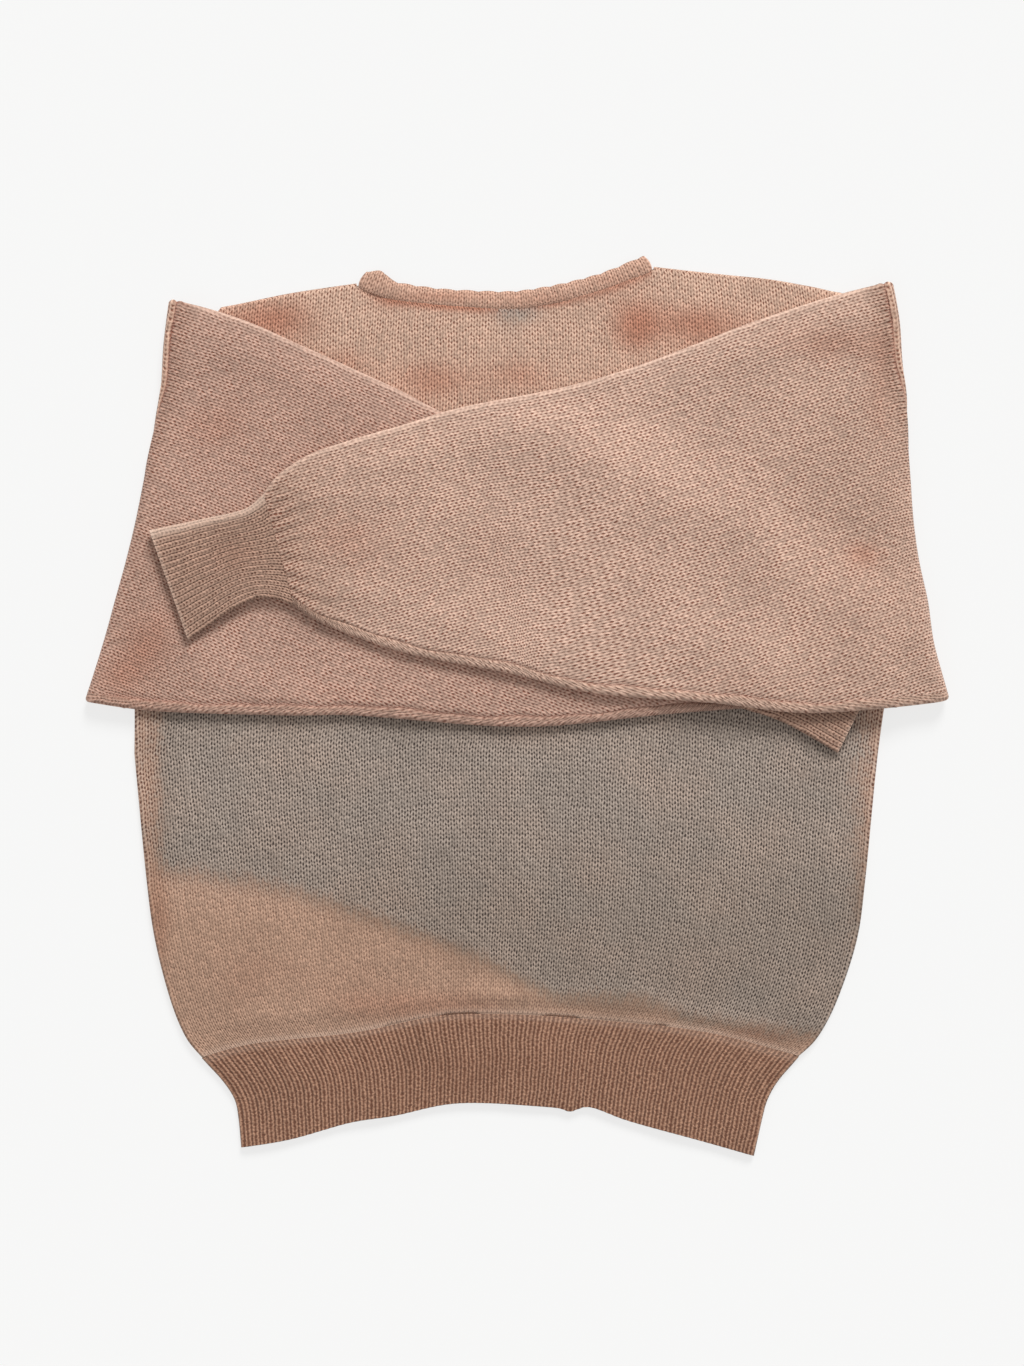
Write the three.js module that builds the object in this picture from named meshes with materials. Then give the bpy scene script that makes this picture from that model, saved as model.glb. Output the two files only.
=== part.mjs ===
// A hand-knitted wool pullover, laid face down on a flat surface with both sleeves folded across its back.
// Units are millimetres. X runs across the garment, Y from the hem up to the neck, and Z up from the surface.
//
// Every piece is a wall of knitted cloth. Back and front lie on each other and meet at rounded side and
// shoulder seams. Each sleeve is a flattened tube: it is sewn to the armhole, turns over at the fold beside the
// body and lies across the back, the right one on the left one. Ribs close the hem and the wrists, and a band
// the neck. Left and right are those of the wearer, which are also those of someone looking down at the back.
import * as THREE from 'three';
import { mergeVertices } from 'three/addons/utils/BufferGeometryUtils.js';

// ---------------------------------------------------------------- driving dimensions
const CLOTH = 2.2;              // thickness of the knitted wall
const HALF = CLOTH / 2;
const SEAM = 0.3;               // clear space between two pieces at a seam or where they lie on each other
const BODY_LOFT = 1;            // air between front and back
const FRONT_Z = HALF;           // height of the middle of the front's wall, which lies on the surface
const BACK_Z = FRONT_Z + CLOTH + BODY_LOFT;
const BODY_TOP = BACK_Z + HALF; // height of the back's upper face
const EDGE_R = (BACK_Z - FRONT_Z) / 2; // bend of the cloth where back meets front
const TUBE_R = CLOTH;           // bend of the cloth along a sleeve's upper and lower edges
const TUBE_HIGH = 2 * (TUBE_R + HALF); // thickness of a flattened sleeve
const FOLD_LOFT = 1.1;          // how far a sleeve's lower wall stands off the back at the fold
const FOLD_SETTLE = 30;         // length over which it comes down again
const FOLD_INSET = 15;          // what the fold goes round is taken this far inside the garment's outline
const PAST_FOLD = 1;            // the fold's rings run this far past its top, in bend radii
const UNDER_FOLD = 0.5;         // and those of the body's strip start this far before its underside
const STRIP_TURN = 1.2;         // the least turn that the body's strip goes round the fold
const LIFT_NEAR = 42;           // the upper sleeve is fully lifted this far outside the lower sleeve's edge
const LIFT_FAR = 104;           // and lies on the back this far outside it
const BAND_WIDE = 13;           // neckband, from its seam to its folded edge
const BAND_TURN_IN = 3.5;       // it turns round this far inside each end of the neck
const SIDE_FROM = 6;            // beside a rolled edge the facets are in rows, from here
const SIDE_TO = 30;             // to here

// Number of facets.
const SIDE_ROWS = 7;            // from the hem seam to the underarm
const ACROSS = 9;               // across one wall of a sleeve, and up the armhole
const EDGE_STEPS = 2;           // in each quarter of a rolled edge
const FOLD_STEPS = 6;           // from inside a fold to the armhole seam, and from there to the top
const SLEEVE_RINGS = 10;        // along a sleeve past its fold
const CUFF_RINGS = 3;
const RIB_ROWS = 3;
const SHOULDER_COLUMNS = 4;
const NECK_COLUMNS = 8;

// ---------------------------------------------------------------- outlines, seen from above
const HEM_SEAM = [[-228, -253], [-190, -243], [-118, -235], [-56, -223], [0, -222], [71, -227], [138, -235],
  [204, -252]];
const HEM_EDGE = [[-199, -318], [-163, -312], [-120, -300], [-88, -295], [-41, -286], [24, -289],
  [81, -299], [125, -311], [171, -324]];
const SIDE_LEFT = [[-228, -253], [-240, -238], [-251, -211], [-262, -168], [-268, -125], [-275, -53],
  [-279, -8]];
const SIDE_RIGHT = [[204, -252], [218, -238], [232, -211], [246, -168], [252, -125], [259, -53], [264, -8]];
const RIB_LEFT = [[-228, -253], [-213, -269], [-204, -283], [-201, -297], [-199, -318]];
const RIB_RIGHT = [[204, -252], [189, -269], [181, -283], [177, -297], [171, -324]];
const SHOULDER_LEFT = [[-251, 292], [-232, 287], [-207, 290], [-163, 299], [-116, 306]];
const SHOULDER_RIGHT = [[99, 318], [125, 315], [153, 312], [182, 309], [211, 304], [240, 299], [271, 305]];
const BACK_NECK = [[-116, 304], [-94, 296], [-65, 291], [-41, 289], [-5, 288], [20, 291], [44, 296],
  [68, 303], [99, 316]];
const FRONT_NECK = [[-116, 304], [-110, 272], [-88, 243], [-48, 224], [-8, 218], [32, 224], [72, 245],
  [93, 277], [99, 316]];

// A sleeve's fold runs up from the underarm corner to the shoulder tip, and its top and bottom edges from the
// fold to the cuff. seamAt gives where the armhole seam lies, at even steps from the underarm to the shoulder:
// its distance round the fold from the outermost line, which is below that line where it is negative.
const SLEEVE_LEFT = {
  fold: [[-312, 4], [-307, 19], [-298, 48], [-290, 77], [-282, 106], [-275, 135], [-268, 170], [-262, 200],
    [-257, 230], [-255, 262], [-251, 294]],
  top: [[-251, 294], [-222, 287], [-192, 277], [-163, 264], [-134, 251], [-86, 229], [-53, 212], [0, 190],
    [60, 165], [110, 143], [150, 125], [180, 104], [199, 79]],
  bottom: [[-312, 4], [-260, -3], [-168, -6], [-118, -6], [-44, -12], [-6, -14], [33, -13], [108, -5],
    [162, -1]],
  cuffTop: [[199, 79], [215, 68], [240, 56], [268, 41]],
  cuffBottom: [[162, -1], [187, -9], [207, -19], [231, -33]],
  seamAt: [-33, -25, -15, -4, 5, 9],
};
const SLEEVE_RIGHT = {
  fold: [[312, 6], [308, 19], [300, 48], [296, 77], [290, 106], [286, 135], [284, 163], [282, 192],
    [281, 221], [278, 250], [276, 279], [271, 307]],
  top: [[271, 307], [227, 296], [171, 278], [130, 262], [81, 244], [32, 230], [-41, 215], [-81, 203],
    [-122, 191], [-150, 181], [-171, 167], [-182, 153]],
  bottom: [[312, 6], [300, 3], [251, -2], [202, -4], [141, 3], [56, 10], [-4, 24], [-76, 38], [-122, 53],
    [-145, 63], [-160, 73]],
  cuffTop: [[-182, 153], [-196, 142], [-226, 135], [-264, 127]],
  cuffBottom: [[-160, 73], [-176, 78], [-192, 76], [-210, 66], [-236, 48]],
  seamAt: [-44, -32, -19, -5, 5, 9],
};

// ---------------------------------------------------------------- curves and patches
const { lerp, clamp, smoothstep } = THREE.MathUtils;
const CURVE_STEPS = 240;

/** A list of count + 1 values of make, at even shares from 0 to 1. */
const shares = (count, make) => Array.from({ length: count + 1 }, (_, k) => make(k / count));

/** A smooth curve through the points, read by its share of length. */
function edge(points) {
  const curve = new THREE.SplineCurve(points.map(([x, y]) => new THREE.Vector2(x, y)));
  curve.arcLengthDivisions = CURVE_STEPS;
  return (share) => curve.getPointAt(clamp(share, 0, 1));
}

/** The height at x of a line of points that runs one way. */
function heightOn(line, x) {
  const found = line.findIndex((p) => p.x >= x);
  const i = found < 0 ? line.length - 1 : Math.max(found, 1);
  const [a, b] = [line[i - 1], line[i]];
  return lerp(a.y, b.y, clamp((x - a.x) / (b.x - a.x), 0, 1));
}

/** The same smooth curve as a height for each x, for edges that never turn back. */
function profile(points) {
  const line = shares(CURVE_STEPS, edge(points));
  return (x) => heightOn(line, x);
}

/** The value at a share of the way along a list of evenly spaced values. */
function valueAt(values, share) {
  const place = clamp(share, 0, 1) * (values.length - 1);
  const i = Math.min(Math.floor(place), values.length - 2);
  return lerp(values[i], values[i + 1], place - i);
}

/** The point at (u, v) of the patch between four border points, with the four corners taken off. */
function patch(u, v, [left, right, low, high], [lowLeft, lowRight, highLeft, highRight]) {
  const across = (a, b, key) => lerp(a[key], b[key], u);
  const atCorners = (key) => lerp(across(lowLeft, lowRight, key), across(highLeft, highRight, key), v);
  const mix = (key) => across(left, right, key) + lerp(low[key], high[key], v) - atCorners(key);
  return new THREE.Vector2(mix('x'), mix('y'));
}

// ---------------------------------------------------------------- walls
/** The direction of a line of points at one of them. Open ends continue the bend of the line. */
function direction(points, i, closed) {
  const n = points.length;
  if (closed || (i > 0 && i < n - 1)) {
    return new THREE.Vector3().subVectors(points[(i + 1) % n], points[(i + n - 1) % n]);
  }
  const [a, b, c] = i === 0 ? points : [points[n - 1], points[n - 2], points[n - 3]];
  const [first, second] = [a.distanceTo(b), b.distanceTo(c)];
  const leaving = new THREE.Vector3().subVectors(b, a).divideScalar(first);
  const next = new THREE.Vector3().subVectors(c, b).divideScalar(second);
  const bent = next.sub(leaving).multiplyScalar(first / (first + second));
  return leaving.sub(bent).multiplyScalar(i === 0 ? 1 : -1);
}

/** The outer and inner faces of a wall, half its thickness either side of a grid of middle points. */
function faces(grid, closed) {
  const normals = grid.map((row, i) => row.map((_, j) => {
    const column = grid.map((other) => other[j]);
    return direction(row, j, closed).cross(direction(column, i, false)).normalize();
  }));
  const moved = (p, i, j, way) => p.clone().addScaledVector(normals[i][j], way * HALF);
  const face = (way) => grid.flatMap((row, i) => row.map((p, j) => moved(p, i, j, way)));
  return [face(1), face(-1)];
}

/** One closed solid on a grid of middle points. A sheet has an edge face on all four sides. The rows of a tube
 *  are closed loops, so it has edge faces at its two mouths only. A mirrored one splits its facets the other
 *  way, so that left and right match. */
function wall(name, grid, colour, { closed = false, mirrored = false } = {}) {
  const [rows, columns] = [grid.length, grid[0].length];
  const [outer, inner] = faces(grid, closed);
  const at = (i, j) => i * columns + (j % columns);
  const under = (i, j) => rows * columns + at(i, j);
  const index = [];
  const quad = (a, b, c, d) => {
    const split = mirrored ? [b, c, d, b, d, a] : [a, b, c, a, c, d];
    index.push(...split);
  };
  const lastColumn = closed ? columns : columns - 1;
  for (let j = 0; j < lastColumn; j += 1) {
    for (let i = 0; i < rows - 1; i += 1) {
      quad(at(i, j), at(i, j + 1), at(i + 1, j + 1), at(i + 1, j));
      quad(under(i, j), under(i + 1, j), under(i + 1, j + 1), under(i, j + 1));
    }
    quad(at(0, j + 1), at(0, j), under(0, j), under(0, j + 1));
    quad(at(rows - 1, j), at(rows - 1, j + 1), under(rows - 1, j + 1), under(rows - 1, j));
  }
  for (let i = 0; i < rows - 1 && !closed; i += 1) {
    quad(at(i, 0), at(i + 1, 0), under(i + 1, 0), under(i, 0));
    quad(at(i + 1, lastColumn), at(i, lastColumn), under(i, lastColumn), under(i + 1, lastColumn));
  }
  return solid(name, [...outer, ...inner], index, colour);
}

function solid(name, points, index, colour) {
  const raw = new THREE.BufferGeometry();
  raw.setAttribute('position', new THREE.Float32BufferAttribute(points.flatMap((p) => p.toArray()), 3));
  raw.setIndex(index);
  const geometry = mergeVertices(raw);
  geometry.computeVertexNormals();
  const wool = new THREE.MeshStandardMaterial({ color: colour, roughness: 0.95, metalness: 0 });
  const mesh = new THREE.Mesh(geometry, wool);
  mesh.name = name;
  return mesh;
}

// ---------------------------------------------------------------- sleeves
/** The left sleeve lies on the back. */
const onBack = () => BODY_TOP;

/** The right sleeve lies on the back, or on the left sleeve where that is below. */
const leftTop = profile([...SLEEVE_LEFT.top, ...SLEEVE_LEFT.cuffTop.slice(1)]);
const leftBottom = profile([...SLEEVE_LEFT.bottom, ...SLEEVE_LEFT.cuffBottom.slice(1)]);
const leftEnd = SLEEVE_LEFT.cuffTop.at(-1)[0];
function onLeftSleeve({ x, y }) {
  const inside = Math.min(leftTop(x) - y, y - leftBottom(x), leftEnd - x);
  return BODY_TOP + (TUBE_HIGH + SEAM) * smoothstep(inside, -LIFT_FAR, -LIFT_NEAR);
}

/** Where the points of one folded sleeve lie. In plan, along is 0 at the fold and 1 at the cuff, and across is
 *  0 at the bottom edge and 1 at the top. level is 1 on the wall that is outermost at the fold and -1 on the
 *  other. */
function sleeveForm(shape, restsAt) {
  const [fold, top, bottom] = [edge(shape.fold), edge(shape.top), edge(shape.bottom)];
  const wrist = edge([shape.bottom.at(-1), shape.top.at(-1)]);
  const corners = [fold(0), bottom(1), fold(1), top(1)];
  const plan = (along, across) => {
    const borders = [fold(across), wrist(across), bottom(along), top(along)];
    return patch(along, across, borders, corners);
  };
  const nearFold = 0.02;
  const reach = (across) => plan(nearFold, across).distanceTo(plan(0, across)) / nearFold;

  // The fold goes round what it holds: the body, and the lower sleeve where that reaches into it.
  const bend = (across, level) => {
    const base = restsAt(plan(FOLD_INSET / reach(across), across));
    const outer = (base + SEAM + 2 * TUBE_R + HALF - FRONT_Z) / 2;
    const inner = (base + SEAM + HALF + FOLD_LOFT - BACK_Z) / 2;
    const share = (level + 1) / 2;
    return { r: lerp(inner, outer, share), z: lerp(BACK_Z + inner, FRONT_Z + outer, share), outer };
  };
  /** The middle point at a turn round the fold, from below (negative) to above (positive). */
  const wrapped = (turn, across, level) => {
    const { r, z, outer } = bend(across, level);
    const angle = clamp(turn, -Math.PI / 2, Math.PI / 2);
    const inward = HALF + outer - r * Math.cos(angle) + (Math.abs(turn) - Math.abs(angle)) * outer;
    const { x, y } = plan(inward / reach(across), across);
    return new THREE.Vector3(x, y, z + r * Math.sin(angle));
  };
  const seamTurn = (across, level, gap) => {
    const { r, outer } = bend(across, level);
    return valueAt(shape.seamAt, across) / outer + gap / r;
  };
  return {
    restsAt, plan, reach, bend, wrapped, seamTurn,
    width: plan(0, 0).distanceTo(plan(0, 1)),
    cuffTop: edge(shape.cuffTop),
    cuffBottom: edge(shape.cuffBottom),
  };
}
const forms = { left: sleeveForm(SLEEVE_LEFT, onBack), right: sleeveForm(SLEEVE_RIGHT, onLeftSleeve) };

/** A flattened tube's section as [across, level] pairs: up one wall, round, and back down the other. */
function section(width, bend) {
  const margin = HALF + bend;
  const up = shares(ACROSS, (s) => [lerp(margin, width - margin, s) / width, 1]);
  const down = up.map(([across]) => [across, -1]).reverse();
  const turn = (centre, way) => shares(2 * EDGE_STEPS, (s) => Math.PI * s)
    .slice(1, -1)
    .map((a) => [(centre + way * bend * Math.sin(a)) / width, way * Math.cos(a)]);
  return [...up, ...turn(width - margin, 1), ...down, ...turn(margin, -1)].reverse();
}

/** Height of the middle of a wall that lies flat. */
const flatHeight = (form, p, level) => form.restsAt(p) + SEAM + TUBE_HIGH / 2 + level * TUBE_R;

/** The middle points of a sleeve, from its armhole seam round the fold and along to the cuff seam. */
function sleeveGrid(form) {
  const lastTurn = Math.PI / 2 + PAST_FOLD;
  const round = shares(FOLD_STEPS, (s) => {
    const ring = section(form.width, lerp(EDGE_R, TUBE_R, s));
    return ring.map(([across, level]) => {
      const start = form.seamTurn(across, level, SEAM);
      return form.wrapped(lerp(start, lastTurn, s), across, level);
    });
  });
  const cuffGap = SEAM / form.reach(0.5);
  const flat = shares(SLEEVE_RINGS, (s) => {
    const wide = form.plan(s, 0).distanceTo(form.plan(s, 1));
    return section(wide, TUBE_R).map(([across, level]) => {
      const { r, z, outer } = form.bend(across, level);
      const start = (HALF + outer * (1 + PAST_FOLD)) / form.reach(across);
      const along = lerp(start, 1 - cuffGap, s);
      const p = form.plan(along, across);
      const settled = smoothstep((along - start) * form.reach(across), 0, FOLD_SETTLE);
      return new THREE.Vector3(p.x, p.y, lerp(z + r, flatHeight(form, p, level), settled));
    });
  });
  return [...round, ...flat.slice(1)];
}

function cuffGrid(form) {
  const gap = 2 * SEAM / form.cuffTop(0).distanceTo(form.cuffTop(1));
  return shares(CUFF_RINGS, (s) => {
    const along = lerp(gap, 1, s);
    const [low, high] = [form.cuffBottom(along), form.cuffTop(along)];
    return section(low.distanceTo(high), TUBE_R).map(([across, level]) => {
      const p = low.clone().lerp(high, across);
      return new THREE.Vector3(p.x, p.y, flatHeight(form, p, level));
    });
  });
}

// ---------------------------------------------------------------- body
const hemSeam = profile(HEM_SEAM);
const hemEdge = profile(HEM_EDGE);
const shoulders = { left: profile(SHOULDER_LEFT), right: profile(SHOULDER_RIGHT) };
const neckEnds = { left: BACK_NECK[0][0], right: BACK_NECK.at(-1)[0] };

/** Turns of a rolled edge, from flat to where the front and back meet. */
const rollGap = SEAM / EDGE_R;
const rollTurns = shares(EDGE_STEPS, (s) => (Math.PI / 2 - rollGap) * s);
const rollIn = (turn) => HALF + EDGE_R * (1 - Math.sin(turn));
/** Height of a rolled edge's middle: side is 1 for the front, which rolls up, and -1 for the back. */
const rollZ = (turn, side) => (FRONT_Z + BACK_Z) / 2 - side * EDGE_R * Math.cos(turn);

/** Points from the inside out across the rolled edge at p. way is the direction out, 1 or -1. */
function rolledEdge(p, way, side) {
  const beside = shares(FOLD_STEPS - EDGE_STEPS - 1, (s) => [lerp(SIDE_TO, SIDE_FROM, s), 0]);
  const rolled = rollTurns.map((turn) => [0, turn]);
  return [...beside, ...rolled].map(([inset, turn]) => {
    const x = p.x - way * (rollIn(turn) + inset);
    return new THREE.Vector3(x, p.y, rollZ(turn, side));
  });
}

/** The strip of points from the inside out, under the fold and round it to the armhole seam. */
function armholeEdge(form, across, level) {
  const end = form.seamTurn(across, level, -SEAM);
  const start = Math.min(end - STRIP_TURN, -Math.PI / 2 - UNDER_FOLD);
  return shares(FOLD_STEPS, (s) => form.wrapped(lerp(start, end, s), across, level));
}

/** Rows of points up one side of the body, each from the inside out. */
function sideStrip(way, side) {
  const form = way < 0 ? forms.left : forms.right;
  const line = edge(way < 0 ? SIDE_LEFT : SIDE_RIGHT);
  const below = shares(SIDE_ROWS, line).slice(0, -1).map((p) => rolledEdge(p, way, side));
  const margin = HALF + EDGE_R;
  const up = (s) => lerp(margin, form.width - margin, s) / form.width;
  const beside = shares(ACROSS, (s) => armholeEdge(form, up(s), side));
  const shoulderEdge = (a) => armholeEdge(form, 1 - rollIn(a) / form.width, side * Math.cos(a));
  const rolled = rollTurns.slice(1).map(shoulderEdge);
  return [...below, ...beside, ...rolled];
}

/** The columns between the two side strips, as x at the top edge: even steps over the shoulders and neck. */
function columnsBetween(from, to) {
  const stretch = (a, b, count) => shares(count, (s) => lerp(a, b, s)).slice(1);
  return [
    ...stretch(from, neckEnds.left, SHOULDER_COLUMNS),
    ...stretch(neckEnds.left, neckEnds.right, NECK_COLUMNS),
    ...stretch(neckEnds.right, to, SHOULDER_COLUMNS).slice(0, -1),
  ];
}
const inNeck = (x) => x > neckEnds.left && x < neckEnds.right;

/** The back (side -1) or front (side 1): rows of middle points that run across, from the hem seam up. */
function panelGrid(side, neckPoints) {
  const neck = profile(neckPoints);
  const [left, right] = [sideStrip(-1, side), sideStrip(1, side)];
  const flatRows = SIDE_ROWS + ACROSS + 1;
  const [ends, tops] = [[left[0][0], right[0][0]], [left[flatRows - 1][0], right[flatRows - 1][0]]];
  const columns = columnsBetween(tops[0].x, tops[1].x);
  const shoulder = (x) => (x < 0 ? shoulders.left(x) : shoulders.right(x));
  const topAt = (x) => (inNeck(x) ? neck(x) - SEAM / 2 : shoulder(x));
  const climb = (points, row) => {
    const [first, here, last] = [0, row, flatRows - 1].map((k) => points[k][0].y);
    return (here - first) / (last - first);
  };
  const rows = left.map((leftRow, j) => {
    const row = Math.min(j, flatRows - 1);
    const turn = rollTurns[Math.max(j - flatRows + 1, 0)];
    const v = (climb(left, row) + climb(right, row)) / 2;
    const between = columns.map((x) => {
      const u = (x - tops[0].x) / (tops[1].x - tops[0].x);
      const low = new THREE.Vector2(lerp(ends[0].x, ends[1].x, u), lerp(ends[0].y, ends[1].y, u));
      const high = new THREE.Vector2(x, topAt(x) - rollIn(0));
      const p = patch(u, v, [left[row][0], right[row][0], low, high], [...ends, ...tops]);
      const top = topAt(x) - rollIn(turn);
      const y = j < flatRows - 1 ? p.y : top;
      return new THREE.Vector3(p.x, y, rollZ(inNeck(x) ? 0 : turn, side));
    });
    return [...[...leftRow].reverse(), ...between, ...right[j]];
  });
  // The lower rows bend to the hem seam.
  const bottom = rows[0].map((p) => hemSeam(p.x) + SEAM / 2 - p.y);
  return rows.map((row, j) => row.map((p, i) => p.setY(p.y + bottom[i] * Math.max(1 - j / SIDE_ROWS, 0))));
}

/** One side of the ribbed hem, from its lower edge up to the seam, on the columns of the panel above it. */
function ribGrid(side, panel) {
  const [left, right] = [edge(RIB_LEFT), edge(RIB_RIGHT)];
  const seam = panel[0];
  const [from, to] = [seam[0].x, seam.at(-1).x];
  return shares(RIB_ROWS, (v) => {
    const [l, r] = [left(1 - v), right(1 - v)];
    return seam.map((p) => {
      const u = (p.x - from) / (to - from);
      const bottomX = lerp(RIB_LEFT.at(-1)[0], RIB_RIGHT.at(-1)[0], u);
      const low = hemEdge(bottomX) - lerp(RIB_LEFT.at(-1)[1], RIB_RIGHT.at(-1)[1], u);
      const high = p.y - 1.5 * SEAM - lerp(RIB_LEFT[0][1], RIB_RIGHT[0][1], u);
      const edgeY = lerp(l.y, r.y, u);
      return new THREE.Vector3(lerp(l.x + HALF, r.x - HALF, u), edgeY + lerp(low, high, v), p.z);
    });
  });
}

// ---------------------------------------------------------------- neckband
/** One band all the way round the neck: over the back, round at the shoulder, and below it along the front. */
function neckband(backRow, frontRow, colour) {
  const isEnd = (p) => !inNeck(p.x);
  const seamOf = (row) => row.filter((p) => p.x >= neckEnds.left && p.x <= neckEnds.right)
    .map((p) => (isEnd(p) ? p.clone().setY(p.y + HALF + SEAM) : p));
  const along = (line, z) => line.map((p, i) => {
    const [before, after] = [line[Math.max(i - 1, 0)], line[Math.min(i + 1, line.length - 1)]];
    const run = new THREE.Vector3().subVectors(after, before);
    const out = new THREE.Vector3(-run.y, run.x, 0).normalize();
    return { seam: p.clone().setZ(z), out, face: new THREE.Vector3(0, 0, 1) };
  });
  const trimmed = (line) => {
    const at = (x) => new THREE.Vector3(x, heightOn(line, x), 0);
    const between = line.slice(1, -1).map((p) => p.clone());
    return [at(neckEnds.left + BAND_TURN_IN), ...between, at(neckEnds.right - BAND_TURN_IN)];
  };
  const back = along(trimmed(seamOf(backRow)), BACK_Z);
  const front = along(trimmed(seamOf(frontRow)), FRONT_Z).reverse();
  front.forEach((station) => station.face.negate());
  const round = ({ seam, out }, way) => [45, 90, 135].map((degrees) => {
    const a = THREE.MathUtils.degToRad(degrees);
    const face = new THREE.Vector3(way * out.y * Math.sin(a), -way * out.x * Math.sin(a), Math.cos(a));
    const centre = seam.clone().setZ((BACK_Z + FRONT_Z) / 2);
    return { seam: centre.addScaledVector(face, EDGE_R), out, face };
  });
  const down = new THREE.Vector3(0, 0, -1);
  const under = ({ seam, out }) => ({ seam: seam.clone().setZ(FRONT_Z), out, face: down });
  const stations = [
    ...back, ...round(back.at(-1), 1), under(back.at(-1)),
    ...front.slice(1, -1),
    under(back[0]), ...round(back[0], -1).reverse(),
  ];
  // The section: square at the seam and rounded at the folded edge.
  const corners = [[SEAM, 1], [BAND_WIDE - HALF, 1], [BAND_WIDE, 0], [BAND_WIDE - HALF, -1], [SEAM, -1]];
  const points = stations.flatMap(({ seam, out, face }) => corners.map(([wide, level]) => (
    seam.clone().addScaledVector(out, wide).addScaledVector(face, level * HALF)
  )));
  const index = [];
  const n = corners.length;
  const at = (i, j) => (i % stations.length) * n + (j % n);
  for (let i = 0; i < stations.length; i += 1) {
    for (let j = 0; j < n; j += 1) {
      const [a, b, c, d] = [at(i, j), at(i, j + 1), at(i + 1, j + 1), at(i + 1, j)];
      index.push(a, c, b, a, d, c);
    }
  }
  return solid('neckband', points, index, colour);
}

// ---------------------------------------------------------------- the garment
const PINK = '#c49a86';
const YOKE = '#b08d7c';
const RIB_PINK = '#90694f';
const BAND_PINK = '#ba917d';

const backGrid = panelGrid(-1, BACK_NECK);
const frontGrid = panelGrid(1, FRONT_NECK);
const garment = new THREE.Group();
garment.add(
  wall('front', frontGrid, YOKE),
  wall('back', backGrid, YOKE),
  wall('hem_front', ribGrid(1, frontGrid), RIB_PINK),
  wall('hem_back', ribGrid(-1, backGrid), RIB_PINK),
  neckband(backGrid.at(-1), frontGrid.at(-1), BAND_PINK),
);
for (const [side, form] of Object.entries(forms)) {
  const facets = { closed: true, mirrored: side === 'left' };
  garment.add(wall(`sleeve_${side}`, sleeveGrid(form), PINK, facets));
  garment.add(wall(`cuff_${side}`, cuffGrid(form), RIB_PINK, facets));
}

export default garment;
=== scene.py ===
"""A hand-knitted wool pullover, mended once, that lies face down with both sleeves folded across its back."""
import math

import bpy
import numpy as np
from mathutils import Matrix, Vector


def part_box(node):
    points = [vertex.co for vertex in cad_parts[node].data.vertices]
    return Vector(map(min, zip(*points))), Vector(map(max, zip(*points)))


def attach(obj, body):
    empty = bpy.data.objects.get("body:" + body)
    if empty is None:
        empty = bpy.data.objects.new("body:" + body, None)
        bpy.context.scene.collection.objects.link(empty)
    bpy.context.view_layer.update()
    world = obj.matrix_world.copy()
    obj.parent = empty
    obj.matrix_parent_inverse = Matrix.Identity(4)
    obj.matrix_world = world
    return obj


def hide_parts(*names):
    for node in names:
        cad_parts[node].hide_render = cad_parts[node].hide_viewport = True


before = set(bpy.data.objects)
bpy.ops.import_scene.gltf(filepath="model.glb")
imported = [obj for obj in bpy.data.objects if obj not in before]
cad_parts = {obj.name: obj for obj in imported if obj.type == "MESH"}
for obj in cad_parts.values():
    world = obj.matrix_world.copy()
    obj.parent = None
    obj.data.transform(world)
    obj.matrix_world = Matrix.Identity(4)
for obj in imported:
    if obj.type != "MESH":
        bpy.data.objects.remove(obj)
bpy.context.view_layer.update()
bpy.ops.object.select_all(action="DESELECT")
MM = 0.001


# ---- Camera. It looks straight down on the garment's back, from far off, so that the outline is drawn true.
LENS = 85
SENSOR = 36
VIEW_HIGH = 984 * MM
VIEW_CENTRE = (-3.6 * MM, 17.3 * MM)
CLOTH_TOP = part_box("back")[1].z
bpy.ops.object.camera_add(location=(*VIEW_CENTRE, CLOTH_TOP + VIEW_HIGH * LENS / SENSOR), rotation=(0, 0, 0))
camera = bpy.context.object
camera.data.lens = LENS
camera.data.sensor_fit = "VERTICAL"
camera.data.sensor_height = SENSOR
bpy.context.scene.camera = camera


# ---- Light and floor. A broad even lamp far off beyond the neck, another opposite, and an even pale room.
LAMPS = [
    ("key", (0.25, 1.0, 0.72), 22, 2.75),
    ("fill", (-0.7, -0.9, 1.6), 60, 0.25),
]
ROOM_LIGHT = 0.43
FLOOR_SIZE = 60
# The paper glows a little, so that the shadow round the cloth stays faint.
PAPER = {
    "Base Color": (0.185, 0.185, 0.184, 1),
    "Emission Color": (0.925, 0.925, 0.92, 1),
    "Emission Strength": 0.793,
    "Roughness": 0.9,
}
for lamp_name, place, spread, strength in LAMPS:
    tilt = math.atan2(math.hypot(place[0], place[1]), place[2])
    bpy.ops.object.light_add(type="SUN", location=place, rotation=(tilt, 0, math.atan2(place[0], -place[1])))
    lamp = bpy.context.object
    lamp.name = lamp_name
    lamp.data.angle = math.radians(spread)
    lamp.data.energy = strength
room = bpy.data.worlds.new("room")
room.use_nodes = True
room.node_tree.nodes["Background"].inputs["Color"].default_value = (1, 1, 1, 1)
room.node_tree.nodes["Background"].inputs["Strength"].default_value = ROOM_LIGHT
bpy.context.scene.world = room
bpy.context.scene.view_settings.view_transform = "Standard"

bpy.ops.mesh.primitive_plane_add(size=FLOOR_SIZE, location=(0, 0, 0))
floor = bpy.context.object
floor.name = "floor"
paper = bpy.data.materials.new("paper")
paper.use_nodes = True
for socket, value in PAPER.items():
    paper.node_tree.nodes["Principled BSDF"].inputs[socket].default_value = value
floor.data.materials.append(paper)


# ---- The back. One panel of plain knit, peach pink wool with a soft grey-blue field low down, knitted up from
# the hem rib. It lies on the front, and its edges roll over to meet the front at the side and shoulder seams.
CLOTH = 2.2
HALF = CLOTH / 2
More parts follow.
